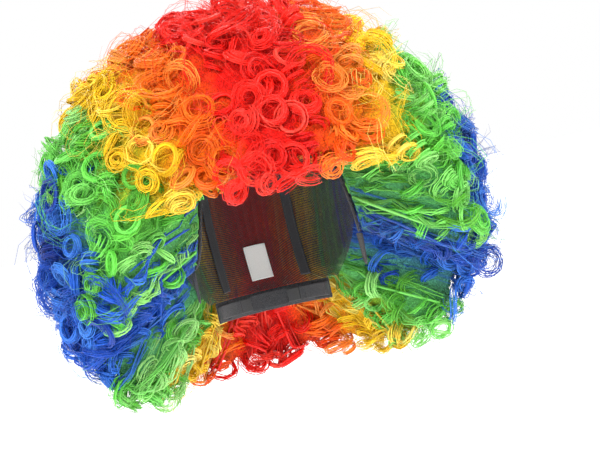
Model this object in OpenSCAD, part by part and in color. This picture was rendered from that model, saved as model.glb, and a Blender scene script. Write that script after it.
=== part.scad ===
// Rainbow curly costume wig: a stretch cap, its weft rows, the curly hair
// and the two hook-and-loop size adjusters at the nape.
// The face looks along -Y, the wearer's left is +X and +Z is up.
// The origin is the centre of the head inside the cap, level with the ear tops.
// "lat" is the angle from the head's middle plane towards an ear.
// "turn" goes round the left-right axis: 0 is the face, 90 the top, 180 the back.

/* [Head and cap] */
// Width of the head that the cap fits
head_w = 156; // [140:1:170]
// Length of the head from forehead to back
head_l = 196; // [180:1:212]
// Height of the crown over the ear tops
crown_h = 108; // [98:1:120]
// Turn of the hairline at the forehead
front_mid = 28; // [20:1:36]
// How far the hairline drops in front of the ears
front_drop = 75; // [60:1:80]
// Turn of the cap's edge at the middle of the nape
nape_mid = 215; // [208:1:220]
// How far the cap's edge drops behind the ears
nape_drop = 22; // [14:1:26]
// Thickness of the stretch net
net_t = 0.8; // [0.5:0.1:1.2]
// Lat of the seams between the crown net and the side nets
seam_lat = 28; // [25:0.5:30]
// Lat at which the side nets end over the ears
ear_lat = 86; // [84:0.5:87]

/* [Hair] */
// Half of the hair's overall width
hair_half_w = 200; // [160:1:240]
// Half of the hair's overall depth
hair_half_l = 175; // [140:1:210]
// Height of the hair's own dome
hair_h = 195; // [160:1:230]
// How far the hair's centre sits behind the head's centre
hair_back = 12; // [0:1:20]
// How far the hair's centre sits below the ear tops
hair_sink = 7; // [0:1:15]
// Depth of the lumps that the curls make
lump = 3.5; // [0:0.5:5]
// Space between the cap's weft rows and the hair
root_gap = 0.8; // [0.6:0.1:1.2]
// Share of the way over the cap at which the hair's roots end, over the nape band
root_end = 0.955; // [0.94:0.005:0.965]
// Angle left open between neighbouring locks
lock_gap = 0.5; // [0.3:0.1:1]
// Share by which the middle colours draw together at the forehead and the nape
band_narrow = 0.5; // [0:0.05:0.6]

/* [Weft rows] */
// Width of a weft row
weft_w = 3.2; // [2:0.2:4]
// Thickness of a weft row
weft_t = 1; // [0.6:0.1:1.4]
// Space between the net and a weft row
weft_gap = 0.4; // [0.3:0.1:0.6]

/* [Bands and tapes] */
// Width of the front band
front_band_w = 14; // [8:1:18]
// Thickness of the front band and the seam tapes
tape_t = 1.2; // [0.8:0.1:1.6]
// Width of a seam tape
tape_w = 9; // [6:1:12]
// Space between the net and what is sewn inside it
sewn_gap = 0.5; // [0.4:0.1:0.8]
// Space between the net's edge and the top of the nape band
nape_gap = 0.3; // [0.2:0.1:1]
// Height of the nape band
nape_h = 18; // [14:1:24]
// Thickness of the nape band
nape_t = 1.6; // [1.2:0.1:2.4]
// Half of the angle that the nape band spans
nape_span = 62; // [56:1:70]
// Width of the blank label
label_w = 20; // [14:1:26]
// Height of the blank label
label_h = 30; // [20:1:36]
// Thickness of the blank label
label_t = 0.5; // [0.3:0.1:0.8]

/* [Ear tabs] */
// Width of an ear tab where it is sewn on
tab_w = 22; // [16:1:26]
// Length of an ear tab
tab_l = 27; // [20:1:32]
// Thickness of an ear tab
tab_t = 1.2; // [0.8:0.1:1.6]
// Radius of an ear tab's round end
tab_end_r = 6; // [4:0.5:8]

/* [Adjusters] */
// Thickness of the loop strip, the straps and the hook tabs
strap_t = 1.2; // [0.8:0.1:1.6]
// Height of the loop strip
loop_h = 15; // [10:1:18]
// Half of the angle that the loop strip spans
loop_span = 44; // [40:1:50]
// Height of a strap and its hook tab
strap_h = 12; // [8:1:14]
// Space between the loop strip and a hook tab
hook_gap = 0.4; // [0.3:0.1:0.6]
// Angle from the middle of the nape to a hook tab's tip
hook_tip = 18; // [16:1:20]
// Angle that a hook tab spans
hook_span = 12; // [9:1:14]
// Angle that a strap's stitched end spans
end_span = 6; // [4:1:7]
// Angle that a strap's anchor spans
anchor_span = 4; // [3:1:5]

/* [Hidden] */

SIDES = ["left", "right"];
SEGMENTS = ["front", "crown", "back"];
BANDS = ["orange", "yellow", "green", "blue"];
COLOURS = ["orange", "gold", "limegreen", "royalblue"];
// Lat at which each colour starts at the crown, from red's edge out to the ear
band_lats = [20, 34, 47, 64, ear_lat];
// Lats at the crown of the weft rows of the red band, then of each side band
red_rows = [-15, -7.5, 0, 7.5, 15];
side_rows = [[23.5, 30], [37.5, 43.5], [50, 55.5, 61], [67, 72, 77, 82]];
// Each hair node's locks from front to back, as shares of the way over the head
seg_locks = [[0, 0.11, 0.22, 0.33], [0.33, 0.43, 0.54, 0.64], [0.64, 0.76, 0.88, 1]];
// Steps along a lock, and across one: the ear's locks follow the slanting hairline
lock_turns = 4;
red_lock_lats = 2;
lock_lats = [2, 2, 3, 3];
// Steps along a strip, and along and across a net
strip_steps = 24;
net_turns = 32;
crown_net_lats = 8;
side_net_lats = 20;
weft_out = net_t + weft_gap + weft_t;
root_off = weft_out + root_gap;
band_lat_end = 66;
// The nape band follows a circle that meets the cap's edge at the middle and at this lat
nape_meet_lat = 45;
nape_pts = [for (lat = [0, nape_meet_lat]) scalp(lat, nape_turn(lat), 0)];
nape_dy = nape_pts[0][1] - nape_pts[1][1];
nape_r = (pow(nape_pts[1][0], 2) + pow(nape_dy, 2)) / (2 * nape_dy);
nape_axis_y = nape_pts[0][1] - nape_r;
nape_top = scalp(0, nape_mid, net_t)[2] - nape_gap;
nape_mid_z = nape_top - nape_h / 2;
loop_r = nape_r - nape_t;
hook_r = loop_r - strap_t - hook_gap;
hook_root = hook_tip + hook_span;
end_root = hook_root + end_span;
anchor_root = nape_span - anchor_span;
// The ear tabs are sewn on just below the side nets' front edge, at this lat
tab_lat = 70;
tab_top = scalp(tab_lat, front_turn(tab_lat), 0) - [tab_t, 0, 2];

function ease(t) = let (c = min(max(t, 0), 1)) c * c * (3 - 2 * c);

// A point of the head's surface, moved out by off
function scalp(lat, turn, off) = [
  (head_w / 2 + off) * sin(lat),
  -(head_l / 2 + off) * cos(lat) * cos(turn),
  (crown_h + off) * cos(lat) * sin(turn)
];

// A point of the hair's outer surface, with the curls' lumps
function puff(lat, turn) =
  let (r = 1 + lump / hair_half_w * sin(turn * 11) * cos(lat * 9))
  [
    hair_half_w * r * sin(lat),
    hair_back - hair_half_l * r * cos(lat) * cos(turn),
    -hair_sink + hair_h * r * cos(lat) * sin(turn)
  ];

// Where the cap starts and ends, and where the hair that grows there fans out to
function front_turn(lat) = front_mid - front_drop * ease((abs(lat) - 42) / 30);
// The cap's edge is level behind the neck, then keeps one turn up to the ears
function nape_turn(lat) =
  min(180 + asin(min(sin(nape_mid - 180) / cos(lat), 1)), nape_mid + nape_drop);
function front_fan(lat) = front_turn(lat) - 14 - 12 * ease((abs(lat) - 32) / 34);
function nape_fan(lat) = nape_turn(lat) + 8 + 17 * ease((abs(lat) - 15) / 45);
function cap_turn(lat, share) = front_turn(lat) + share * (nape_turn(lat) - front_turn(lat));
function fan_turn(lat, share) = front_fan(lat) + share * (nape_fan(lat) - front_fan(lat));
// How far the front band reaches back from the cap's edge, in turn
function band_turns(lat) = front_band_w / (head_l / 2 * cos(lat)) * 180 / PI;
// The lat that a lat at the crown becomes at another share of the way over the head
function drawn_lat(lat, share) =
  lat * (1 - band_narrow * pow(2 * share - 1, 2) * (1 - abs(lat) / ear_lat));
function steps(a, b, n) = [for (i = [0:n]) a + (b - a) * i / n];

// A closed solid between two grids of points, rows by lat and columns by turn
module skin(inner, outer) {
  rows = len(inner);
  cols = len(inner[0]);
  top = rows * cols;
  quads = [
    for (i = [0:rows - 2], j = [0:cols - 2])
      let (a = i * cols + j, b = a + 1, c = b + cols, d = a + cols)
      each [[top + a, top + b, top + c, top + d], [a, d, c, b]],
    for (j = [0:cols - 2])
      let (a = j, b = j + 1, e = (rows - 1) * cols + j, f = e + 1)
      each [[a, b, top + b, top + a], [e, top + e, top + f, f]],
    for (i = [0:rows - 2])
      let (a = i * cols, b = a + cols, e = a + cols - 1, f = e + cols)
      each [[b, a, top + a, top + b], [f, top + f, top + e, e]]
  ];
  polyhedron(
    points = [for (g = [inner, outer], row = g) each row],
    faces = [for (q = quads) each [[q[0], q[1], q[2]], [q[0], q[2], q[3]]]],
    convexity = 6
  );
}

// A thin piece that follows the head, from one lat and share of the way over to another
module cap_piece(lats, shares, off, thickness) {
  skin(
    [for (lat = lats) [for (s = shares) scalp(lat, cap_turn(lat, s), off)]],
    [for (lat = lats) [for (s = shares) scalp(lat, cap_turn(lat, s), off + thickness)]]
  );
}

// One lock of curls, from its weft rows out to the hair's surface
module lock(lat_a, lat_b, share_a, share_b, across) {
  lats = steps(lat_a + lock_gap / 2, lat_b - lock_gap / 2, across);
  gap_share = lock_gap / (nape_mid - front_mid);
  shares = steps(share_a + gap_share / 2, share_b - gap_share / 2, lock_turns);
  skin(
    [for (lat = lats) [for (s = shares)
      let (drawn = drawn_lat(lat, s))
      scalp(drawn, cap_turn(drawn, s * root_end), root_off)]],
    [for (lat = lats) [for (s = shares)
      let (drawn = drawn_lat(lat, s))
      puff(drawn, fan_turn(drawn, s))]]
  );
}

// The locks of one hair node, in two rows side by side
module hair(lat_a, lat_b, seg, across) {
  middle = (lat_a + lat_b) / 2;
  for (k = [0:len(seg_locks[seg]) - 2], lats = [[lat_a, middle], [middle, lat_b]])
    lock(lats[0], lats[1], seg_locks[seg][k], seg_locks[seg][k + 1], across);
}

module mirrored(side) {
  if (side == "right")
    mirror([1, 0, 0]) children();
  else
    children();
}

module weft_row(lat) {
  half = weft_w / head_w * 180 / PI;
  offs = [weft_out - weft_t, weft_out];
  grids = [for (off = offs) [for (edge = [-half, half]) [for (s = steps(0.01, root_end, strip_steps))
    let (drawn = drawn_lat(lat, s / root_end) + edge)
    scalp(drawn, cap_turn(drawn, s), off)]]];
  skin(grids[0], grids[1]);
}

module hair_red(seg) {
  color("red") hair(-band_lats[0], band_lats[0], seg, red_lock_lats);
}

module hair_side(band, seg) {
  color(COLOURS[band]) hair(band_lats[band], band_lats[band + 1], seg, lock_lats[band]);
}

module wefts_red() {
  color("red") for (lat = red_rows) weft_row(lat);
}

module wefts_side(band) {
  color(COLOURS[band]) for (lat = side_rows[band]) weft_row(lat);
}

module crown_net() {
  color("#202020") cap_piece(steps(-seam_lat, seam_lat, crown_net_lats), steps(0, 1, net_turns), 0, net_t);
}

module side_net() {
  color("#202020") cap_piece(steps(seam_lat + 0.2, ear_lat, side_net_lats), steps(0, 1, net_turns), 0, net_t);
}

// The tape starts where the front band ends
module seam_tape() {
  half = tape_w / head_w * 180 / PI;
  tape_start = (band_turns(seam_lat + half) + 1) / (nape_turn(seam_lat) - front_turn(seam_lat));
  lats = [seam_lat - half, seam_lat + half];
  color("#181818") cap_piece(lats, steps(tape_start, 0.98, strip_steps), -sewn_gap - tape_t, tape_t);
}

module front_band() {
  lats = steps(-band_lat_end, band_lat_end, 32);
  offs = [-sewn_gap - tape_t, -sewn_gap];
  grids = [for (off = offs) [for (lat = lats)
    let (turn = front_turn(lat))
    [scalp(lat, turn, off), scalp(lat, turn + band_turns(lat), off)]]];
  color("#101010") skin(grids[0], grids[1]);
}

// Part of a ring round the nape's own upright axis, az_a to az_b degrees left of its middle
module nape_arc(r_in, r_out, height, az_a, az_b) {
  translate([0, nape_axis_y, nape_mid_z - height / 2])
    rotate([0, 0, 90 - az_b])
      rotate_extrude(angle = az_b - az_a, $fn = 180)
        translate([r_in, 0])
          square([r_out - r_in, height]);
}

module nape_band() {
  color("#101010") nape_arc(loop_r, nape_r, nape_h, -nape_span, nape_span);
}

module nape_loop_strip() {
  color("#282828") nape_arc(loop_r - strap_t, loop_r, loop_h, -loop_span, loop_span);
}

module strap_anchor() {
  color("#303030") nape_arc(hook_r - strap_t, loop_r, strap_h, anchor_root, nape_span);
}

module elastic_strap() {
  color("#404040") nape_arc(hook_r - strap_t, hook_r, strap_h, end_root, anchor_root);
}

module strap_end() {
  color("#303030") nape_arc(hook_r - strap_t, hook_r, strap_h, hook_root, end_root);
}

module hook_tab() {
  color("#383838") nape_arc(hook_r - strap_t, hook_r, strap_h, hook_tip, hook_root - 0.4);
}

module size_label() {
  half = label_w / head_w * 180 / PI;
  share_w = label_h / (head_l / 2) * 180 / PI / (nape_mid - front_mid);
  color("white")
    cap_piece([-half, 0, half], steps(0.97 - share_w, 0.97, 4), -sewn_gap - label_t, label_t);
}

module ear_tab() {
  color("#181818")
    translate(tab_top)
      rotate([90, 0, 90])
        linear_extrude(tab_t, center = true)
          union() {
            polygon([
              [tab_w / 2, 0], [-tab_w / 2, 0],
              [-tab_end_r, tab_end_r - tab_l], [tab_end_r, tab_end_r - tab_l]
            ]);
            translate([0, tab_end_r - tab_l])
              circle(tab_end_r, $fn = 64);
          }
}

for (k = [0:2])
  hair_red(k);
for (b = [0:3], side = SIDES, k = [0:2])
  mirrored(side) hair_side(b, k);
wefts_red();
for (b = [0:3], side = SIDES)
  mirrored(side) wefts_side(b);
crown_net();
for (side = SIDES) {
  mirrored(side) side_net();
  mirrored(side) seam_tape();
  mirrored(side) ear_tab();
  mirrored(side) strap_anchor();
  mirrored(side) elastic_strap();
  mirrored(side) strap_end();
  mirrored(side) hook_tab();
}
front_band();
nape_band();
size_label();
nape_loop_strip();
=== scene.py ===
"""Looks of a rainbow curly costume wig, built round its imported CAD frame.

The face looks along -Y, the wearer's left is +X and +Z is up. "lat" is the angle
from the head's middle plane towards an ear, and "turn" goes round the left-right
axis: 0 is the face, 90 the top of the head and 180 the back. Lengths are metres.
"""

import logging
import math
from dataclasses import dataclass, field
from enum import Enum
from functools import cache

import bmesh
import bpy
import numpy as np
from mathutils import Matrix, Vector


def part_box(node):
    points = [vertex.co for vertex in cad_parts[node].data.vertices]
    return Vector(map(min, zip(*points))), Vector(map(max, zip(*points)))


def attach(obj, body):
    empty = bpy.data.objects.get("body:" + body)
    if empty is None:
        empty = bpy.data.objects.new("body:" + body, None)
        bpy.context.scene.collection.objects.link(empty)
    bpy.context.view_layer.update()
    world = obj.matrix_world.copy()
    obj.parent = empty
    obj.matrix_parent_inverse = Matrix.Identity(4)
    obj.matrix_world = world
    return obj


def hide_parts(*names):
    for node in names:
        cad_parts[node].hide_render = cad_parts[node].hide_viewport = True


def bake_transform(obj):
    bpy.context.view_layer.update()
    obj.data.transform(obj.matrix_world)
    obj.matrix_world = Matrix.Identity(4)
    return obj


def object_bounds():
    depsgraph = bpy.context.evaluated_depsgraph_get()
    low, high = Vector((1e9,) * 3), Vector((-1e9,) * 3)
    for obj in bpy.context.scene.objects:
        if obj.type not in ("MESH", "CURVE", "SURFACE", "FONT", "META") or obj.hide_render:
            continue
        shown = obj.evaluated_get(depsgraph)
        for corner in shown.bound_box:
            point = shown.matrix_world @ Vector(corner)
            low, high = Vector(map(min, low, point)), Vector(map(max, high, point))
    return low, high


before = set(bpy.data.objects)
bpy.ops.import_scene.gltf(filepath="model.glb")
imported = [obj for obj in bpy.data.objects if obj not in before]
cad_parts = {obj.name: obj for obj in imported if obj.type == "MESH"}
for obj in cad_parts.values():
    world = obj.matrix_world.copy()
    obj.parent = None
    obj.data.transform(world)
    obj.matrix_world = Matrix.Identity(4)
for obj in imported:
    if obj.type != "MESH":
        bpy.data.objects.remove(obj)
CAD_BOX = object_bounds()

log = logging.getLogger("wig")
Array = np.ndarray
RNG_SEED = 20


# ---------------------------------------------------------------- small helpers


def ease(t: Array | float) -> Array:
    """Smooth step from 0 to 1 as t goes from 0 to 1."""
    c = np.clip(t, 0.0, 1.0)
    return c * c * (3.0 - 2.0 * c)


def ramp(lat: Array, start: float, over: float) -> Array:
    """Smooth step from 0 to 1 as a lat of either side passes start, over so many degrees."""
    return ease((np.abs(lat) - start) / over)


def unit(v: Array) -> Array:
    """The rows of v at length 1."""
    return v / np.maximum(np.linalg.norm(v, axis=-1, keepdims=True), 1e-12)


def link_object(name: str, mesh: bpy.types.Mesh) -> bpy.types.Object:
    """Puts a mesh into the scene as an object at the origin."""
    obj = bpy.data.objects.new(name, mesh)
    bpy.context.scene.collection.objects.link(obj)
    return obj


def feed(tree: bpy.types.NodeTree, socket: bpy.types.NodeSocket, value: "Value | float | tuple") -> None:
    """Links a node tree's value to a socket, or sets a plain one on it."""
    if isinstance(value, Value):
        tree.links.new(value.socket, socket)
    else:
        socket.default_value = value


class Value:
    """A number in a node tree. Arithmetic on it adds the math nodes."""

    def __init__(self, tree: bpy.types.NodeTree, socket: bpy.types.NodeSocket) -> None:
        """Holds the tree and the socket that carries the number."""
        self.tree = tree
        self.socket = socket

    def math(self, operation: str, *others: "Value | float") -> "Value":
        """One Math node on this value and the others."""
        node = self.tree.nodes.new("ShaderNodeMath")
        node.operation = operation
        for i, value in enumerate((self, *others)):
            feed(self.tree, node.inputs[i], value)
        return Value(self.tree, node.outputs[0])

    def __add__(self, other: "Value | float") -> "Value":
        """Sum."""
        return self.math("ADD", other)

    def __sub__(self, other: "Value | float") -> "Value":
        """Difference."""
        return self.math("SUBTRACT", other)

    def __mul__(self, other: "Value | float") -> "Value":
        """Product."""
        return self.math("MULTIPLY", other)

    def __truediv__(self, other: "Value | float") -> "Value":
        """Quotient."""
        return self.math("DIVIDE", other)

    def sine(self) -> "Value":
        """Sine of an angle in radians."""
        return self.math("SINE")

    def cosine(self) -> "Value":
        """Cosine of an angle in radians."""
        return self.math("COSINE")

    def eased(self) -> "Value":
        """Smooth step of this value, clamped to 0 and 1."""
        c = self.math("MINIMUM", 1.0).math("MAXIMUM", 0.0)
        return c * c * (c * -2.0 + 3.0)


class VectorValue(Value):
    """A vector in a node tree."""

    def vector_math(self, operation: str, other: "Value | tuple") -> "VectorValue":
        """One Vector Math node on this vector and another."""
        node = self.tree.nodes.new("ShaderNodeVectorMath")
        node.operation = operation
        feed(self.tree, node.inputs[0], self)
        feed(self.tree, node.inputs[1], other)
        return VectorValue(self.tree, node.outputs[0])

    def __add__(self, other: "Value | tuple") -> "VectorValue":
        """Sum."""
        return self.vector_math("ADD", other)

    def __sub__(self, other: "Value | tuple") -> "VectorValue":
        """Difference."""
        return self.vector_math("SUBTRACT", other)

    def scaled(self, factor: "Value | float") -> "VectorValue":
        """This vector times a number."""
        node = self.tree.nodes.new("ShaderNodeVectorMath")
        node.operation = "SCALE"
        feed(self.tree, node.inputs[0], self)
        feed(self.tree, node.inputs[3], factor)
        return VectorValue(self.tree, node.outputs[0])

    def parts(self) -> tuple[Value, Value, Value]:
        """The vector's three numbers."""
        node = self.tree.nodes.new("ShaderNodeSeparateXYZ")
        feed(self.tree, node.inputs[0], self)
        x, y, z = (Value(self.tree, out) for out in node.outputs)
        return x, y, z


# ---------------------------------------------------------------- the head's shape


@dataclass(frozen=True)
class HeadShape:
    """The head inside the cap and the hair's outer surface, in metres and degrees."""

    half_w: float = 0.078
    half_l: float = 0.098
    crown: float = 0.108
    hair_half_w: float = 0.200
    hair_half_l: float = 0.175
    hair_h: float = 0.195
    hair_back: float = 0.012
    hair_sink: float = 0.007
    front_mid: float = 28.0
    front_drop: float = 75.0
    nape_mid: float = 215.0
    nape_drop: float = 22.0
    ear_lat: float = 86.0
    root_end: float = 0.955
    band_narrow: float = 0.5
    drop_ramp: tuple[float, float] = (42.0, 30.0)
    front_open: float = 14.0
    front_flare: float = 12.0
    front_flare_ramp: tuple[float, float] = (32.0, 34.0)
    nape_open: float = 8.0
    nape_flare: float = 17.0
    nape_flare_ramp: tuple[float, float] = (15.0, 45.0)

    def scalp(self, lat: Array, turn: Array, off: Array | float = 0.0) -> Array:
        """Points of the head's surface, moved out by off."""
        la, tu = np.radians(lat), np.radians(turn)
        return np.stack([
            (self.half_w + off) * np.sin(la),
            -(self.half_l + off) * np.cos(la) * np.cos(tu),
            (self.crown + off) * np.cos(la) * np.sin(tu),
        ], -1)

    def puff(self, lat: Array, turn: Array, scale: Array | float = 1.0) -> Array:
        """Points of the hair's outer surface, at scale 1."""
        la, tu = np.radians(lat), np.radians(turn)
        return np.stack([
            self.hair_half_w * scale * np.sin(la),
            self.hair_back - self.hair_half_l * scale * np.cos(la) * np.cos(tu),
            -self.hair_sink + self.hair_h * scale * np.cos(la) * np.sin(tu),
        ], -1)

    def outward(self, points: Array) -> Array:
        """Unit directions that point out of the hair's surface."""
        middle = np.array([0.0, self.hair_back, -self.hair_sink])
        half = np.array([self.hair_half_w, self.hair_half_l, self.hair_h])
        return unit((points - middle) / half**2)

    def front_turn(self, lat: Array) -> Array:
        """Turn at which the cap starts."""
        return self.front_mid - self.front_drop * ramp(lat, *self.drop_ramp)

    def nape_turn(self, lat: Array) -> Array:
        """Turn at which the cap ends: level behind the neck, then one turn up to the ears."""
        level = math.sin(math.radians(self.nape_mid - 180.0))
        rise = np.degrees(np.arcsin(np.minimum(level / np.cos(np.radians(lat)), 1.0)))
        return np.minimum(180.0 + rise, self.nape_mid + self.nape_drop)

    def front_fan(self, lat: Array) -> Array:
        """Turn to which the hair at the cap's front edge fans out."""
        return self.front_turn(lat) - self.front_open - self.front_flare * ramp(lat, *self.front_flare_ramp)

    def nape_fan(self, lat: Array) -> Array:
        """Turn to which the hair at the nape fans out."""
        return self.nape_turn(lat) + self.nape_open + self.nape_flare * ramp(lat, *self.nape_flare_ramp)

    def cap_turn(self, lat: Array, share: Array) -> Array:
        """Turn on the cap at a share of the way over the head."""
        start = self.front_turn(lat)
        return start + share * (self.nape_turn(lat) - start)

    def _draw(self, share: Array) -> Array:
        """How strongly the bands draw together at a share of the way over the head."""
        return self.band_narrow * (2.0 * share - 1.0) ** 2

    def drawn_lat(self, lat: Array, share: Array) -> Array:
        """The lat that a lat at the crown becomes at another share of the way over the head."""
        return lat * (1.0 - self._draw(share) * (1.0 - np.abs(lat) / self.ear_lat))

    def crown_lat(self, drawn: Array, share: Array) -> Array:
        """The lat at the crown that becomes this drawn lat."""
        draw = np.maximum(self._draw(share), 1e-6)
        bend = draw / self.ear_lat
        root = np.sqrt((1.0 - draw) ** 2 + 4.0 * bend * np.abs(drawn))
        return np.sign(drawn) * (root - (1.0 - draw)) / (2.0 * bend)

    def root_turn(self, lat: Array, share: Array) -> Array:
        """Turn on the cap at which the hair of that share of the way is rooted."""
        return self.cap_turn(lat, share * self.root_end)

    def fan_turn(self, lat: Array, share: Array) -> Array:
        """Turn on the hair's surface at a share of the way over the head."""
        start = self.front_fan(lat)
        return start + share * (self.nape_fan(lat) - start)


HEAD = HeadShape()


class Side(Enum):
    """A side of the wearer's head, with the sign of its X."""

    LEFT = 1.0
    RIGHT = -1.0

    @property
    def word(self) -> str:
        """The side's name as the CAD nodes have it."""
        return self.name.lower()


class Segment(Enum):
    """A stretch of hair from front to back, as shares of the way over the head."""

    FRONT = (0.0, 0.33)
    CROWN = (0.33, 0.64)
    BACK = (0.64, 1.0)


@dataclass(frozen=True)
class Dye:
    """One fibre colour: the lats it covers at the crown and its tones, as linear RGB."""

    name: str
    lat_from: float
    lat_to: float
    deep: tuple[float, float, float]
    mid: tuple[float, float, float]
    pale: tuple[float, float, float]


DYES = (
    Dye("red", 0.0, 20.0, (0.72, 0.002, 0.001), (0.98, 0.012, 0.004), (1.0, 0.075, 0.045)),
    Dye("orange", 20.0, 34.0, (0.92, 0.075, 0.0), (1.0, 0.19, 0.004), (1.0, 0.40, 0.07)),
    Dye("yellow", 34.0, 47.0, (0.80, 0.42, 0.004), (1.0, 0.66, 0.012), (1.0, 0.86, 0.22)),
    Dye("green", 47.0, 64.0, (0.10, 0.36, 0.01), (0.15, 0.70, 0.08), (0.45, 0.88, 0.28)),
    Dye("blue", 64.0, 90.0, (0.006, 0.028, 0.26), (0.010, 0.10, 0.60), (0.06, 0.26, 0.80)),
)


# ---------------------------------------------------------------- curls


class PointTree:
    """Geometry Nodes that grow thin round strands from points with attributes."""

    NAME = ""
    POINTS = "Points"
    INPUTS: tuple[tuple[str, str], ...] = ()

    def __init__(self) -> None:
        """Builds the tree once."""
        self.tree = bpy.data.node_groups.new(self.NAME, "GeometryNodeTree")
        self.inputs: dict[str, str] = {}
        face = self.tree.interface
        for name, kind in ((self.POINTS, "Geometry"), *self.INPUTS, ("Material", "Material")):
            socket = face.new_socket(name=name, in_out="INPUT", socket_type="NodeSocket" + kind)
            self.inputs[name] = socket.identifier
        face.new_socket(name="Strands", in_out="OUTPUT", socket_type="NodeSocketGeometry")
        start = self.tree.nodes.new("NodeGroupInput")
        self.given = {s.name: Value(self.tree, s) for s in start.outputs if s.name}
        self._strands()

    def _strands(self) -> None:
        """Lays out the tree."""
        raise NotImplementedError

    def _named(self, name: str, kind: str = "FLOAT") -> Value:
        """Reads a point attribute."""
        node = self.tree.nodes.new("GeometryNodeInputNamedAttribute")
        node.data_type = kind
        node.inputs["Name"].default_value = name
        wanted = VectorValue if kind == "FLOAT_VECTOR" else Value
        return wanted(self.tree, node.outputs["Attribute"])

    def _store(self, geometry: Value, name: str, kind: str, value: Value) -> Value:
        """Writes a point attribute."""
        node = self.tree.nodes.new("GeometryNodeStoreNamedAttribute")
        node.data_type = kind
        node.domain = "POINT"
        node.inputs["Name"].default_value = name
        self.tree.links.new(geometry.socket, node.inputs["Geometry"])
        self.tree.links.new(value.socket, node.inputs["Value"])
        return Value(self.tree, node.outputs["Geometry"])

    def _random(self, kind: str, low: object, high: object, seed: Value) -> Value:
        """A random number or vector for each element, from the tree's seed."""
        node = self.tree.nodes.new("FunctionNodeRandomValue")
        node.data_type = kind
        first, last = (0, 1) if kind == "FLOAT_VECTOR" else (2, 3)
        node.inputs[first].default_value = low
        node.inputs[last].default_value = high
        self.tree.links.new(seed.socket, node.inputs["Seed"])
        wanted = VectorValue if kind == "FLOAT_VECTOR" else Value
        return wanted(self.tree, node.outputs[0 if kind == "FLOAT_VECTOR" else 1])

    def _index(self) -> Value:
        """Each element's own number."""
        return Value(self.tree, self.tree.nodes.new("GeometryNodeInputIndex").outputs[0])

    def _dots(self) -> Value:
        """The given mesh's vertices as points."""
        dots = self.tree.nodes.new("GeometryNodeMeshToPoints")
        self.tree.links.new(self.given[self.POINTS].socket, dots.inputs["Mesh"])
        return Value(self.tree, dots.outputs[0])

    def _duplicate(self, geometry: Value, amount: Value) -> tuple[Value, Value]:
        """Repeats each point, and gives each copy's own number."""
        node = self.tree.nodes.new("GeometryNodeDuplicateElements")
        node.domain = "POINT"
        self.tree.links.new(geometry.socket, node.inputs["Geometry"])
        self.tree.links.new(amount.socket, node.inputs["Amount"])
        return Value(self.tree, node.outputs[0]), Value(self.tree, node.outputs[1])

    def _moved(self, points: Value, place: VectorValue) -> Value:
        """Sets every point's place."""
        move = self.tree.nodes.new("GeometryNodeSetPosition")
        self.tree.links.new(points.socket, move.inputs["Geometry"])
        self.tree.links.new(place.socket, move.inputs["Position"])
        return Value(self.tree, move.outputs[0])

    def _profile(self) -> Value:
        """The round section of a strand, whose points carry their place round it."""
        circle = self.tree.nodes.new("GeometryNodeCurvePrimitiveCircle")
        circle.inputs["Radius"].default_value = 1.0
        self.tree.links.new(self.given["Profile Sides"].socket, circle.inputs["Resolution"])
        place = self.tree.nodes.new("GeometryNodeInputPosition")
        ring = VectorValue(self.tree, place.outputs[0])
        return self._store(Value(self.tree, circle.outputs[0]), "ring", "FLOAT_VECTOR", ring)

    def _sweep(self, points: Value, strand: str, radius: Value) -> None:
        """Joins the points of each strand, sweeps the section along them and ends the tree."""
        tree, link = self.tree, self.tree.links.new
        curves = tree.nodes.new("GeometryNodePointsToCurves")
        link(points.socket, curves.inputs["Points"])
        link(self._named(strand, "INT").socket, curves.inputs["Curve Group ID"])
        link(self._named("along").socket, curves.inputs["Weight"])
        sweep = tree.nodes.new("GeometryNodeCurveToMesh")
        link(curves.outputs[0], sweep.inputs["Curve"])
        link(self._profile().socket, sweep.inputs["Profile Curve"])
        link(radius.socket, sweep.inputs["Scale"])
        sweep.inputs["Fill Caps"].default_value = True
        smooth = tree.nodes.new("GeometryNodeSetShadeSmooth")
        link(sweep.outputs[0], smooth.inputs["Geometry"])
        real = tree.nodes.new("GeometryNodeRealizeInstances")
        link(smooth.outputs[0], real.inputs[0])
        dress = tree.nodes.new("GeometryNodeSetMaterial")
        link(real.outputs[0], dress.inputs["Geometry"])
        link(self.given["Material"].socket, dress.inputs["Material"])
        end = tree.nodes.new("NodeGroupOutput")
        link(dress.outputs[0], end.inputs[0])

    def grow(
        self, name: str, points: bpy.types.Object, material: bpy.types.Material, **given: float
    ) -> bpy.types.Object:
        """Runs the tree on an object of points and keeps the result as one plain mesh.

        Args:
            name: the new piece's name.
            points: the object of points, which is removed.
            material: the strands' material.
            given: the tree's other inputs, with _ for a space.

        Returns:
            The new piece.
        """
        modifier = points.modifiers.new("strands", "NODES")
        modifier.node_group = self.tree
        modifier[self.inputs["Material"]] = material
        for key, value in given.items():
            modifier[self.inputs[key.replace("_", " ")]] = value
        seen = bpy.context.evaluated_depsgraph_get()
        mesh = bpy.data.meshes.new_from_object(points.evaluated_get(seen))
        mesh.name = name
        if not mesh.materials:
            mesh.materials.append(material)
        bpy.data.objects.remove(points)
        return link_object(name, mesh)


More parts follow.
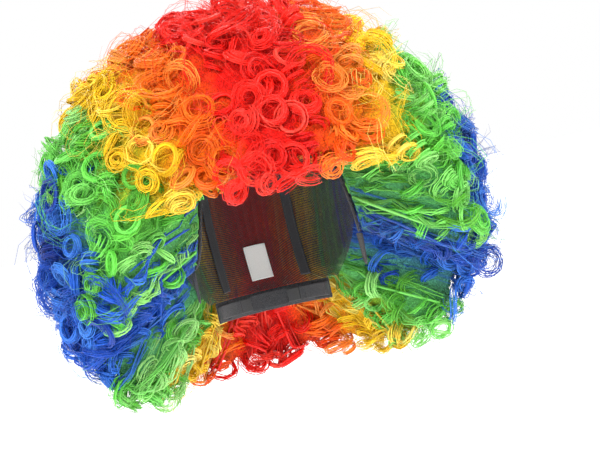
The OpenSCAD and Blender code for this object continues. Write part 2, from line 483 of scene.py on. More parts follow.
class CurlTree(PointTree):
    """Grows the fibres of each curl from one point a curl.

    Each point carries where its curl sits, where it is rooted, the curl's own
    axes, radius, loops, pitch, shrink and spread, and how many fibres it has.
    """

    NAME = "curl_fibres"
    POINTS = "Curls"
    INPUTS = (
        ("Profile Sides", "Int"),
        ("Seed", "Int"),
        ("Root Scatter", "Float"),
        ("Stem Wave", "Float"),
        ("Tip Taper", "Float"),
    )
    FIBRE_TURN = 0.55
    WAVES = (31.0, 23.0)
    WAVE_CHANCE = 9.0
    SWAY_TURN = 11.0
    SIZE_RANGE = (0.84, 1.08)
    TIP_SHARE = 0.25
    VECTORS = ("root", "side_u", "side_v", "axis", "jitter", "centre")
    NUMBERS = ("curl_r", "loops", "pitch", "shrink", "spread", "stem", "phase", "frizz", "along", "size")

    def _place(self) -> VectorValue:
        """Where a point of a fibre lies: from its root out to the curl, then round it."""
        v = {n: self._named(n, "FLOAT_VECTOR") for n in self.VECTORS}
        k = {n: self._named(n) for n in self.NUMBERS}
        jit_x, jit_y, jit_z = v["jitter"].parts()
        along = k["along"]
        angle = k["phase"] + jit_x * self.FIBRE_TURN + along * k["loops"] * math.tau
        wave = (along * self.WAVES[0] + jit_z * self.WAVE_CHANCE).sine() * k["frizz"]
        radius = k["curl_r"] * k["size"] * (k["shrink"] * along * -1.0 + 1.0)
        radius = radius + jit_y * k["spread"] + wave
        wave_up = (along * self.WAVES[1] + jit_x * self.WAVE_CHANCE).cosine() * k["frizz"]
        lift = k["pitch"] * (along - 0.5) + jit_z * k["spread"] + wave_up
        coil = v["centre"] + v["side_u"].scaled(radius * angle.cosine())
        coil = coil + v["side_v"].scaled(radius * angle.sine()) + v["axis"].scaled(lift)
        root = v["root"] + v["jitter"].scaled(self.given["Root Scatter"])
        reach = (along / k["stem"]).eased()
        swing = (reach - reach * reach) * self.given["Stem Wave"]
        turn = reach * self.SWAY_TURN + k["phase"] + jit_x
        sway = v["side_u"].scaled(swing * turn.sine()) + v["side_v"].scaled(swing * turn.cosine())
        return root + (coil - root).scaled(reach) + sway

    def _fibres(self) -> Value:
        """Copies each curl's point once for each fibre, with the fibre's own chance."""
        seed = self.given["Seed"]
        fibres, _ = self._duplicate(self._dots(), self._named("fibres", "INT"))
        fibres = self._store(fibres, "fibre", "INT", self._index())
        jitter = self._random("FLOAT_VECTOR", (-1.0,) * 3, (1.0,) * 3, seed)
        fibres = self._store(fibres, "jitter", "FLOAT_VECTOR", jitter)
        fibres = self._store(fibres, "strand", "FLOAT", self._random("FLOAT", 0.0, 1.0, seed + 7.0))
        size = self._random("FLOAT", *self.SIZE_RANGE, seed + 13.0)
        return self._store(fibres, "size", "FLOAT", size)

    def _strands(self) -> None:
        """Lays out the tree: fibres, their points, their path and their thickness."""
        points, step = self._duplicate(self._fibres(), self._named("steps", "INT"))
        points = self._store(points, "along", "FLOAT", step / (self._named("steps", "INT") - 1.0))
        taper = (self._named("along") * -1.0 + 1.0) * self.given["Tip Taper"]
        thick = self._named("fibre_r") * (taper.eased() * (1.0 - self.TIP_SHARE) + self.TIP_SHARE)
        self._sweep(self._moved(points, self._place()), "fibre", thick)


class ThreadTree(PointTree):
    """Grows one short thread at each point: a stitch, a loop of pile or a hook.

    Each point carries "run", from one end of the thread to the other, and "face",
    the way that the cloth faces there.
    """

    NAME = "threads"
    POINTS = "Spots"
    INPUTS = (
        ("Profile Sides", "Int"),
        ("Steps", "Int"),
        ("Rise", "Float"),
        ("End Lift", "Float"),
        ("Sink", "Float"),
        ("Thread Radius", "Float"),
        ("Seed", "Int"),
    )

    def _strands(self) -> None:
        """Lays out the tree: the threads, their arch over the cloth and their thickness."""
        given = self.given
        threads = self._store(self._dots(), "thread", "INT", self._index())
        strand = self._random("FLOAT", 0.0, 1.0, given["Seed"] + 3.0)
        threads = self._store(threads, "strand", "FLOAT", strand)
        place = VectorValue(self.tree, self.tree.nodes.new("GeometryNodeInputPosition").outputs[0])
        threads = self._store(threads, "middle", "FLOAT_VECTOR", place)
        points, step = self._duplicate(threads, given["Steps"])
        points = self._store(points, "along", "FLOAT", step / (given["Steps"] - 1.0))
        along = self._named("along")
        arch = (along - along * along) * 4.0 * given["Rise"]
        height = arch + along * along * given["End Lift"] - given["Sink"]
        run = self._named("run", "FLOAT_VECTOR").scaled(along - 0.5)
        face = self._named("face", "FLOAT_VECTOR").scaled(height)
        placed = self._named("middle", "FLOAT_VECTOR") + run + face
        self._sweep(self._moved(points, placed), "thread", given["Thread Radius"])


def attribute_points(
    name: str,
    places: Array,
    vectors: dict[str, Array],
    numbers: dict[str, Array],
    counts: dict[str, Array],
    tone: Array,
) -> bpy.types.Object:
    """An object of loose points with attributes for the trees to read.

    Args:
        name: the object's name.
        places: where the points are.
        vectors: vector attributes by name.
        numbers: number attributes by name.
        counts: whole-number attributes by name.
        tone: each point's colour.

    Returns:
        The object.
    """
    mesh = bpy.data.meshes.new(name)
    mesh.vertices.add(len(places))
    mesh.vertices.foreach_set("co", places.astype(np.float32).ravel())
    for kind, word, rows, form in (
        ("FLOAT_VECTOR", "vector", vectors, np.float32),
        ("FLOAT", "value", numbers, np.float32),
        ("INT", "value", counts, np.int32),
    ):
        for key, values in rows.items():
            layer = mesh.attributes.new(key, kind, "POINT")
            layer.data.foreach_set(word, values.astype(form).ravel())
    paint(mesh, tone)
    return link_object(name, mesh)


def paint(mesh: bpy.types.Mesh, tone: Array) -> None:
    """Gives each vertex its "tone", a linear RGB colour."""
    layer = mesh.attributes.new("tone", "FLOAT_COLOR", "POINT")
    rgba = np.ones((len(mesh.vertices), 4), np.float32)
    rgba[:, :3] = tone
    layer.data.foreach_set("color", rgba.ravel())


@dataclass
class CurlSeeds:
    """One row per curl, with all that the curl tree reads."""

    centre: Array
    root: Array
    axis: Array
    spin: Array
    tone: Array
    fibres: Array
    steps: Array
    core_r: Array
    numbers: dict[str, Array]

    ROWS = ("centre", "root", "axis", "spin", "tone", "fibres", "steps", "core_r")

    def points(self, name: str) -> bpy.types.Object:
        """The seeds as an object of loose points with attributes."""
        helper = np.where(np.abs(self.axis[:, 2:3]) > 0.9, [[1.0, 0, 0]], [[0, 0, 1.0]])
        flat_u = unit(np.cross(self.axis, helper))
        flat_v = np.cross(self.axis, flat_u)
        c, s = np.cos(self.spin)[:, None], np.sin(self.spin)[:, None]
        vectors = {
            "centre": self.centre,
            "root": self.root,
            "axis": self.axis,
            "side_u": flat_u * c + flat_v * s,
            "side_v": flat_v * c - flat_u * s,
        }
        counts = {"fibres": self.fibres, "steps": self.steps}
        return attribute_points(name, self.centre, vectors, self.numbers, counts, self.tone)

    def only(self, keep: Array) -> "CurlSeeds":
        """The rows that keep picks out."""
        rows = (getattr(self, k)[keep] for k in self.ROWS)
        return CurlSeeds(*rows, {k: v[keep] for k, v in self.numbers.items()})

    @classmethod
    def joined(cls, parts: list["CurlSeeds"]) -> "CurlSeeds":
        """Several sets of seeds as one."""
        rows = (np.concatenate([getattr(p, k) for p in parts]) for k in cls.ROWS)
        numbers = {k: np.concatenate([p.numbers[k] for p in parts]) for k in parts[0].numbers}
        return cls(*rows, numbers)

    def cores(self) -> "CurlSeeds":
        """The soft bundle in the middle of each curl that has one, as a single thick fibre."""
        kept = self.only(self.core_r > 0)
        numbers = dict(kept.numbers)
        numbers["fibre_r"] = kept.core_r
        numbers["spread"] = numbers["spread"] * 0.25
        numbers["frizz"] = numbers["frizz"] * 0.0
        steps = np.maximum(kept.steps * 3 // 4, 12)
        single = np.ones(len(steps))
        shape = (kept.centre, kept.root, kept.axis, kept.spin, kept.tone)
        return CurlSeeds(*shape, single, steps, kept.core_r, numbers)


@dataclass(frozen=True)
class CurlKind:
    """A kind of curl: how often it comes, its shape, its fibres and its soft core."""

    weight: float
    radius: tuple[float, float]
    loops: tuple[float, float]
    pitch: tuple[float, float]
    shrink: tuple[float, float]
    spread: float
    fibre_r: float
    fibres: int
    steps: int
    tilt: float
    frizz: float
    core_r: float = 0.0
    hang: float = 0.0
    stem: tuple[float, float] = (0.15, 0.22)


ROSETTE = CurlKind(
    weight=0.42, radius=(0.010, 0.0175), loops=(1.9, 2.7), pitch=(0.004, 0.010), shrink=(0.45, 0.78),
    spread=0.0026, fibre_r=0.00041, fibres=12, steps=26, tilt=0.5, frizz=0.0005,
)
SATIN_RING = CurlKind(
    weight=0.22, radius=(0.009, 0.014), loops=(1.5, 1.9), pitch=(0.002, 0.006), shrink=(0.0, 0.2),
    spread=0.0016, fibre_r=0.00047, fibres=12, steps=23, tilt=0.55, frizz=0.0, core_r=0.0013,
)
RINGLET = CurlKind(
    weight=0.16, radius=(0.0075, 0.0105), loops=(2.2, 3.0), pitch=(0.016, 0.028), shrink=(0.1, 0.35),
    spread=0.0018, fibre_r=0.00043, fibres=11, steps=30, tilt=1.1, frizz=0.0003, hang=0.8,
)
OPEN_LOOP = CurlKind(
    weight=0.20, radius=(0.012, 0.021), loops=(1.0, 1.5), pitch=(0.002, 0.014), shrink=(0.1, 0.4),
    spread=0.0036, fibre_r=0.00034, fibres=13, steps=19, tilt=0.8, frizz=0.0008,
)
INNER_CURL = CurlKind(
    weight=1.0, radius=(0.010, 0.016), loops=(1.2, 1.9), pitch=(0.006, 0.016), shrink=(0.2, 0.6),
    spread=0.0034, fibre_r=0.00050, fibres=6, steps=16, tilt=0.8, frizz=0.0008, core_r=0.0012,
)
RIM_CURL = CurlKind(
    weight=1.0, radius=(0.008, 0.014), loops=(1.5, 2.4), pitch=(0.004, 0.016), shrink=(0.1, 0.6),
    spread=0.0026, fibre_r=0.00044, fibres=9, steps=24, tilt=0.8, frizz=0.0006,
    stem=(0.22, 0.34), hang=0.25,
)
FRIZZ = CurlKind(
    weight=1.0, radius=(0.008, 0.024), loops=(0.5, 1.5), pitch=(-0.016, 0.016), shrink=(-0.3, 0.5),
    spread=0.006, fibre_r=0.00018, fibres=4, steps=13, tilt=1.5, frizz=0.0014,
)


class Layer(Enum):
    """A layer of curls: its kinds, how many, and how deep it sits in the hair."""

    OUTER = ((ROSETTE, SATIN_RING, RINGLET, OPEN_LOOP), 535, (0.86, 0.95))
    INNER = ((INNER_CURL,), 190, (0.76, 0.85))
    RIM = ((RIM_CURL,), 230, (0.25, 0.90))
    FUZZ = ((FRIZZ,), 780, (0.84, 0.935))


@dataclass
class Hairdo:
    """Places every curl over the cap."""

    pool: int = 14000
    spare: float = 1.25
    edge_noise: float = 2.4
    fringe_drop: float = 0.014
    fringe_lat: float = 55.0
    turns: tuple[float, float] = (-110.0, 275.0)
    rim_odds: tuple[float, float] = (0.55, 0.45)
    rim_out: float = 0.35
    rim_step: float = 0.02
    tilt_scatter: float = 0.6
    root_lift: float = 0.0045
    root_scatter: tuple[float, float] = (1.5, 0.015)
    thickness: tuple[float, float] = (0.85, 1.15)
    rng: np.random.Generator = field(default_factory=lambda: np.random.default_rng(RNG_SEED))

    def _loose(self, where: Array, count: int) -> Array:
        """Picks some of the given places, loosely spaced: part of an even spread of more.

        Args:
            where: the places.
            count: how many to pick.

        Returns:
            The picked rows' numbers.
        """
        chosen = [0]
        gap = np.linalg.norm(where - where[0], axis=1)
        while len(chosen) < int(count * self.spare):
            nearest = int(np.argmax(gap))
            chosen.append(nearest)
            gap = np.minimum(gap, np.linalg.norm(where - where[nearest], axis=1))
        return self.rng.choice(np.array(chosen), count, replace=False)

    def _over(self, count: int, depth: tuple[float, float]) -> tuple[Array, Array, Array]:
        """Spreads spots evenly over the hair.

        Args:
            count: how many.
            depth: the range of their depths.

        Returns:
            Their lats, shares and depths.
        """
        top = math.sin(math.radians(HEAD.ear_lat))
        lat = np.degrees(np.arcsin(self.rng.uniform(-top, top, self.pool)))
        turn = self.rng.uniform(*self.turns, self.pool)
        start, end = HEAD.front_fan(lat), HEAD.nape_fan(lat)
        inside = (turn > start) & (turn < end)
        lat, share = lat[inside], ((turn - start) / (end - start))[inside]
        picked = self._loose(HEAD.puff(lat, HEAD.fan_turn(lat, share)), count)
        return lat[picked], share[picked], self.rng.uniform(*depth, count)

    def _round_rim(self, count: int, depth: tuple[float, float]) -> tuple[Array, Array, Array]:
        """Spreads spots over the hair's front and nape faces, from the cap outwards.

        Args:
            count: how many.
            depth: the range of their depths.

        Returns:
            Their lats, shares and depths.
        """
        lat = self.rng.uniform(-HEAD.ear_lat, HEAD.ear_lat, self.pool // 3)
        share = self.rng.choice([0.0, 1.0], len(lat), p=self.rim_odds)
        level = self.rng.uniform(*depth, len(lat))
        picked = self._loose(self._at(lat, share, level), count)
        return lat[picked], share[picked], level[picked]

    @staticmethod
    def _at(lat: Array, share: Array, level: Array) -> Array:
        """A place between the cap, at level 0, and the hair's surface, at level 1."""
        root = HEAD.scalp(lat, HEAD.root_turn(lat, share), 0.003)
        return root + (HEAD.puff(lat, HEAD.fan_turn(lat, share)) - root) * level[:, None]

    def _tones(self, lat: Array) -> Array:
        """Each curl's tone: the dye of its lat, with a little chance, and its own depth.

        Args:
            lat: the curls' lats at the crown.

        Returns:
            Their colours.
        """
        noisy = np.abs(lat) + self.rng.normal(0.0, self.edge_noise, len(lat))
        dye = np.clip(np.searchsorted([d.lat_to for d in DYES[:-1]], noisy), 0, len(DYES) - 1)
        blend = self.rng.beta(2.0, 2.0, len(lat))[:, None]
        words = ("deep", "mid", "pale")
        deep, mid, pale = (np.array([getattr(d, k) for d in DYES])[dye] for k in words)
        low = deep + (mid - deep) * np.clip(blend * 2.0, 0, 1)
        return low + (pale - mid) * np.clip(blend * 2.0 - 1.0, 0, 1)

    def layer(self, layer: Layer) -> tuple[CurlSeeds, Array, Array]:
        """Places one layer of curls.

        Args:
            layer: which layer.

        Returns:
            The curls, their lats at the crown and their shares of the way over the head.
        """
        rng = self.rng
        kinds, count, depth = layer.value
        spots = self._round_rim if layer is Layer.RIM else self._over
        lat, share, level = spots(count, depth)
        weights = np.array([k.weight for k in kinds])
        pick = rng.choice(len(kinds), count, p=weights / weights.sum())

        def ranged(name: str) -> Array:
            """A draw for each curl from its kind's range."""
            low, high = np.array([getattr(k, name) for k in kinds])[pick].T
            return rng.uniform(low, high)

        def plain(name: str) -> Array:
            """Each curl's kind's own number."""
            return np.array([getattr(k, name) for k in kinds], float)[pick]

        radius = ranged("radius")
        centre = self._at(lat, share, level)
        out = HEAD.outward(centre)
        if layer is Layer.RIM:
            middle = 1.0 - ramp(lat, 0.0, self.fringe_lat)
            centre[:, 2] -= self.fringe_drop * level * (share < 0.5) * middle
            step = np.where(share > 0.5, -self.rim_step, self.rim_step)
            out = unit(unit(centre - self._at(lat, share + step, level)) + self.rim_out * out)
        axis = unit(out + plain("tilt")[:, None] * rng.normal(0.0, self.tilt_scatter, (count, 3)))
        hang = plain("hang")[:, None]
        axis = unit(axis * (1.0 - 0.8 * hang) + np.array([0.0, 0.0, -0.9]) * hang)
        lat_scatter, share_scatter = self.root_scatter
        root_lat = np.clip(lat + rng.normal(0, lat_scatter, count), -HEAD.ear_lat, HEAD.ear_lat)
        root_share = np.clip(share + rng.normal(0, share_scatter, count), 0.01, 0.99)
        root = HEAD.scalp(root_lat, HEAD.root_turn(root_lat, root_share), self.root_lift)
        numbers = {
            "curl_r": radius,
            "loops": ranged("loops") * rng.choice([-1.0, 1.0], count),
            "pitch": ranged("pitch"),
            "shrink": ranged("shrink"),
            "spread": plain("spread"),
            "fibre_r": plain("fibre_r") * rng.uniform(*self.thickness, count),
            "stem": ranged("stem"),
            "phase": rng.uniform(0, math.tau, count),
            "frizz": plain("frizz"),
        }
        spin = rng.uniform(0, math.tau, count)
        crown = HEAD.crown_lat(lat, share)
        counts = (plain("fibres"), plain("steps"), plain("core_r"))
        return CurlSeeds(centre, root, axis, spin, self._tones(crown), *counts, numbers), crown, share


class Hair:
    """All the hair: for each CAD node, its curls, their cores and the mass under them."""

    FILL_ROOT = 0.0028
    FILL_DEPTH = 0.81
    FILL_LUMP = 0.03
    FILL_ENDS = (0.004, 0.996)
    LUMPS = ([260.0, 90.0, 140.0], [80.0, 280.0, -120.0], [-340.0, 190.0, 300.0])
    DRIFTS = ([90.0, 120.0, 70.0], [-210.0, 160.0, 90.0])
    ROOT_SCATTER = 0.0018
    STEM_WAVE = 0.030
    FINE_SIDES, CORE_SIDES = 3, 5

    def __init__(self, finishes: "Finishes") -> None:
        """Builds the tree and places the curls."""
        self.finishes = finishes
        self.tree = CurlTree()
        self.hairdo = Hairdo()
        self.layers = [self.hairdo.layer(layer) for layer in Layer]

    def _fill(
        self, name: str, lats: tuple[float, float], shares: tuple[float, float]
    ) -> bpy.types.Object:
        """The lumpy mass of fibre between the weft rows and the curls.

        Args:
            name: the piece's name.
            lats: where it starts and ends, at the crown.
            shares: the stretch of the way over the head that it covers.

        Returns:
            The piece.
        """
        rows = np.linspace(*lats, max(15, int(abs(lats[1] - lats[0]) * 0.9)))
        cols = np.linspace(*shares, 46)
        crown, share = np.meshgrid(rows, cols, indexing="ij")
        lat = HEAD.drawn_lat(crown, share)
        inner = HEAD.scalp(lat, HEAD.root_turn(lat, share), self.FILL_ROOT)
        full = HEAD.puff(lat, HEAD.fan_turn(lat, share))
        bump = np.sin(full @ self.LUMPS[0]) * np.cos(full @ self.LUMPS[1])
        bump = bump + 0.6 * np.sin(full @ self.LUMPS[2] + 1.0)
        outer = inner + (full - inner) * (self.FILL_DEPTH + self.FILL_LUMP * bump)[..., None]
        mesh = ClothShell.block_mesh(name, inner, outer)
        drift = 2.0 * np.sin(full @ self.DRIFTS[0]) + 1.5 * np.sin(full @ self.DRIFTS[1])
        stops = [0.5 * (d.lat_from + d.lat_to) for d in DYES]
        away = np.abs(crown) + drift
        # Painted shade: the mass takes each dye darker than the curls, as the shade that falls under them.
        dark = [[0.5 * d.deep[c] + 0.35 * d.mid[c] for d in DYES] for c in range(3)]
        tone = np.stack([np.interp(away, stops, row) for row in dark], -1).reshape(-1, 3)
        paint(mesh, np.tile(tone, (2, 1)))
        mesh.materials.append(self.finishes.fibre_mass())
        return link_object(name, mesh)

    def build(self) -> None:
        """Grows the hair of every CAD node and lets it ride on the cap."""
        number = 0
        for i, dye in enumerate(DYES):
            for side in (None,) if i == 0 else tuple(Side):
                for segment in Segment:
                    number += 1
                    self._one(dye, side, segment, number)

    def _one(self, dye: Dye, side: Side | None, segment: Segment, number: int) -> None:
        """The curls, cores and fibre mass that stand for one CAD hair node.

        Args:
            dye: the colour.
            side: the side, or None for the colour over the middle.
            segment: the stretch from front to back.
            number: the node's own number, for its seed.
        """
        words = ("hair", dye.name, side.word if side else "", segment.name.lower())
        node = "_".join(w for w in words if w)
        low, high = segment.value
        parts = []
        for seeds, lat, share in self.layers:
            kept = (np.abs(lat) >= dye.lat_from) & (np.abs(lat) < dye.lat_to)
            kept &= (share >= low) & ((share < high) | (high == 1.0))
            if side is not None:
                kept &= np.sign(lat) == side.value
            parts.append(seeds.only(kept))
        curls = CurlSeeds.joined(parts)
        material = self.finishes.fibre(dye)
        shared = {"Seed": number * 101, "Root_Scatter": self.ROOT_SCATTER, "Stem_Wave": self.STEM_WAVE}
        fine = self.tree.grow(
            node + "_curls", curls.points(node + "_seeds"), material,
            Profile_Sides=self.FINE_SIDES, Tip_Taper=6.0, **shared,
        )
        core = self.tree.grow(
            node + "_cores", curls.cores().points(node + "_core_seeds"), material,
            Profile_Sides=self.CORE_SIDES, Tip_Taper=3.0, **shared,
        )
        near, far = dye.lat_from, min(dye.lat_to, HEAD.ear_lat)
        lats = (-far, far) if side is None else tuple(sorted((near * side.value, far * side.value)))
        first, last = self.FILL_ENDS
        fill = self._fill(node + "_mass", lats, (max(low, first), min(high, last)))
        for piece in (fine, core, fill):
            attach(piece, "cap")
        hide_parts(node)
        log.info("%s: %d curls, %d triangles", node, len(curls.centre), triangles(fine) + triangles(core))


def triangles(obj: bpy.types.Object) -> int:
    """How many triangles a mesh object has."""
    return sum(len(p.vertices) - 2 for p in obj.data.polygons)


# ---------------------------------------------------------------- cloth pieces


def lay_map(mesh: bpy.types.Mesh, places: Array) -> None:
    """Gives a mesh its "weave" UV map, from each vertex's place on the cloth in metres."""
    corners = np.zeros(len(mesh.loops), np.int32)
    mesh.loops.foreach_get("vertex_index", corners)
    layer = mesh.uv_layers.new(name="weave")
    layer.data.foreach_set("uv", places[corners].astype(np.float32).ravel())


class ClothShell:
    """Closed solids over a grid of points, for bands, nets, tapes and fibre masses."""

    @staticmethod
    def _faces(rows: int, cols: int) -> Array:
        """Quads of a closed box-like shell: two grids, the second one outside.

        Args:
            rows: how many rows a grid has.
            cols: how many columns it has.

        Returns:
            The quads, four vertex numbers in each.
        """
        i, j = np.meshgrid(np.arange(rows - 1), np.arange(cols - 1), indexing="ij")
        a = (i * cols + j).ravel()
        b, c, d = a + 1, a + 1 + cols, a + cols
        top = rows * cols
        quads = [np.stack([a, b, c, d], 1), np.stack([a, d, c, b], 1) + top]
        j = np.arange(cols - 1)
        first, last = j, (rows - 1) * cols + j
        quads.append(np.stack([first, first + top, first + 1 + top, first + 1], 1))
        quads.append(np.stack([last, last + 1, last + 1 + top, last + top], 1))
        i = np.arange(rows - 1) * cols
        quads.append(np.stack([i, i + cols, i + cols + top, i + top], 1))
        i = i + cols - 1
        quads.append(np.stack([i, i + top, i + cols + top, i + cols], 1))
        return np.concatenate(quads)

    @classmethod
    def _block(cls, inner: Array, outer: Array) -> tuple[Array, Array, Array]:
        """One closed shell between two grids.

        Args:
            inner: the inner grid.
            outer: the outer grid.

        Returns:
            Its points, its outward quads and its map in metres.
        """
        rows, cols = inner.shape[:2]
        points = np.concatenate([inner.reshape(-1, 3), outer.reshape(-1, 3)])
        quads = cls._faces(rows, cols)
        if signed_volume(points, quads) < 0:
            quads = quads[:, ::-1]
        mid = (inner + outer) / 2
        gap_u = np.linalg.norm(np.diff(mid, axis=0), axis=2)
        gap_v = np.linalg.norm(np.diff(mid, axis=1), axis=2)
        run_u = np.concatenate([np.zeros((1, cols)), np.cumsum(gap_u, 0)])
        run_v = np.concatenate([np.zeros((rows, 1)), np.cumsum(gap_v, 1)], 1)
        run_u = np.broadcast_to(run_u.mean(1, keepdims=True), (rows, cols))
        run_v = run_v - run_v.mean(1, keepdims=True)
        return points, quads, np.tile(np.stack([run_u, run_v], -1).reshape(-1, 2), (2, 1))

    @classmethod
    def joined_mesh(cls, name: str, grids: list[tuple[Array, Array]]) -> bpy.types.Mesh:
        """A mesh of one closed shell for each pair of grids.

        Args:
            name: the mesh's name.
            grids: pairs of an inner and an outer grid, rows by columns by 3.

        Returns:
            The mesh, smooth, with outward faces and a "weave" UV map in metres.
        """
        blocks = [cls._block(inner, outer) for inner, outer in grids]
        starts = np.cumsum([0] + [len(b[0]) for b in blocks])
        points = np.concatenate([b[0] for b in blocks])
        faces = np.concatenate([b[1] + start for b, start in zip(blocks, starts)])
        uv = np.concatenate([b[2] for b in blocks])
        mesh = bpy.data.meshes.new(name)
        mesh.from_pydata(points.tolist(), [], faces.tolist())
        lay_map(mesh, uv)
        mesh.shade_smooth()
        return mesh

    @classmethod
    def block_mesh(cls, name: str, inner: Array, outer: Array) -> bpy.types.Mesh:
        """A mesh of one closed shell between two grids."""
        return cls.joined_mesh(name, [(inner, outer)])


def signed_volume(points: Array, quads: Array) -> float:
    """Volume of a closed quad mesh, negative if its faces point inwards."""
    a, b, c, d = (points[quads[:, k]] for k in range(4))
    halves = np.einsum("ij,ij->i", a, np.cross(b, c)) + np.einsum("ij,ij->i", a, np.cross(c, d))
    return float(halves.sum() / 6.0)


# ---------------------------------------------------------------- the cap


@dataclass(frozen=True)
class CapSizes:
    """Sizes of the cap's cloth, in metres and degrees."""

    seam_lat: float = 28.0
    net_gap: float = 0.2
    net_t: float = 0.0008
    sewn_gap: float = 0.0005
    tape_t: float = 0.0012
    tape_w: float = 0.009
    front_w: float = 0.014
    front_lat: float = 66.0
    weft_w: float = 0.0032
    weft_t: float = 0.0010
    weft_gap: float = 0.0004
    label_half_lat: float = 7.35
    label_shares: tuple[float, float] = (0.876, 0.970)
    label_t: float = 0.0005
    nape_meet_lat: float = 45.0

    @property
    def tape_half_lat(self) -> float:
        """Half of a seam tape's width, as an angle."""
        return math.degrees(self.tape_w / 2 / HEAD.half_w)

    @property
    def weft_half_lat(self) -> float:
        """Half of a weft row's width, as an angle."""
        return math.degrees(self.weft_w / 2 / HEAD.half_w)

    @property
    def nape_axis_y(self) -> float:
        """Where the upright axis of the nape band's circle is."""
        lats = np.array([0.0, self.nape_meet_lat])
        middle, side = HEAD.scalp(lats, HEAD.nape_turn(lats))
        drop = middle[1] - side[1]
        return float(middle[1] - (side[0] ** 2 + drop**2) / (2 * drop))

    def front_turns(self, lat: Array) -> Array:
        """How far the front band reaches back from the cap's edge, in turn."""
        return np.degrees(self.front_w / (HEAD.half_l * np.cos(np.radians(lat))))


SIZES = CapSizes()


def node_points(node: str) -> Array:
    """The places of a CAD node's vertices."""
    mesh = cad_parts[node].data
    places = np.zeros(len(mesh.vertices) * 3, np.float32)
    mesh.vertices.foreach_get("co", places)
    return places.reshape(-1, 3).astype(float)


@dataclass(frozen=True)
class Strip:
    """A flat strip of cloth: its two faces, with rows along it and columns across."""

    inner: Array
    outer: Array

    @classmethod
    def on_head(cls, lat: Array, turn: Array, off: float, thickness: float) -> "Strip":
        """A strip that follows the head."""
        return cls(HEAD.scalp(lat, turn, off), HEAD.scalp(lat, turn, off + thickness))

    @classmethod
    def in_cap(cls, lat: Array, share: Array, thickness: float) -> "Strip":
        """A strip sewn inside the net.

        Args:
            lat: the lats across it.
            share: the shares of the way over the head along it.
            thickness: its thickness.

        Returns:
            The strip.
        """
        lats = np.repeat(lat[None, :], len(share), 0)
        turn = HEAD.cap_turn(lats, share[:, None])
        return cls.on_head(lats, turn, -SIZES.sewn_gap - thickness, thickness)

    @classmethod
    def on_nape(cls, node: str, rows: int, cols: int) -> "Strip":
        """A strip round the nape's upright axis, where a CAD node lies.

        Args:
            node: the CAD node.
            rows: how many rows it has, along it.
            cols: how many columns it has, across it.

        Returns:
            The strip.
        """
        points = node_points(node) - [0.0, SIZES.nape_axis_y, 0.0]
        radius = np.hypot(points[:, 0], points[:, 1])
        turn = np.arctan2(points[:, 0], points[:, 1])
        around, height = np.meshgrid(
            np.linspace(turn.min(), turn.max(), rows),
            np.linspace(points[:, 2].min(), points[:, 2].max(), cols),
            indexing="ij",
        )

        def ring(r: float) -> Array:
            """Points of the strip at one radius."""
            return np.stack([r * np.sin(around), SIZES.nape_axis_y + r * np.cos(around), height], -1)

        return cls(ring(radius.min()), ring(radius.max()))

    def faces(self, inside: bool) -> tuple[Array, Array]:
        """The strip's one face and the other one behind it."""
        return (self.inner, self.outer) if inside else (self.outer, self.inner)

    def ribbed(self, ribs: float, depth: float, edge: float = 0.07) -> "Strip":
        """The strip with ribs along it and thin rounded long edges.

        Args:
            ribs: how many ribs.
            depth: how deep the dips between them are.
            edge: the share of the width over which it gets thin.

        Returns:
            The new strip.
        """
        t = np.linspace(0.0, 1.0, self.inner.shape[1])
        through = self.outer - self.inner
        thick = np.linalg.norm(through, axis=-1, keepdims=True)
        dip = depth * (0.5 + 0.5 * np.cos(math.tau * ribs * t))[None, :, None]
        thin = (1.0 - ease(np.minimum(t, 1.0 - t) / edge))[None, :, None] * 0.30 * thick
        shift = unit(through) * np.minimum(dip + thin, 0.42 * thick)
        return Strip(self.inner + shift, self.outer - shift)

    def line(self, across: float, inside: bool) -> tuple[Array, Array]:
        """A line along the strip at a share of its width, with the way that face looks."""
        col = int(round(across * (self.inner.shape[1] - 1)))
        face, back = self.faces(inside)
        return face[:, col], unit(face[:, col] - back[:, col])

    def end(self, row: int, inside: bool) -> tuple[Array, Array]:
        """A line across the strip at one of its rows, with the way that face looks."""
        face, back = self.faces(inside)
        return face[row], unit(face[row] - back[row])

    def piece(self, name: str, material: bpy.types.Material) -> bpy.types.Object:
        """The strip as a closed piece."""
        mesh = ClothShell.block_mesh(name, self.inner, self.outer)
        mesh.materials.append(material)
        return link_object(name, mesh)


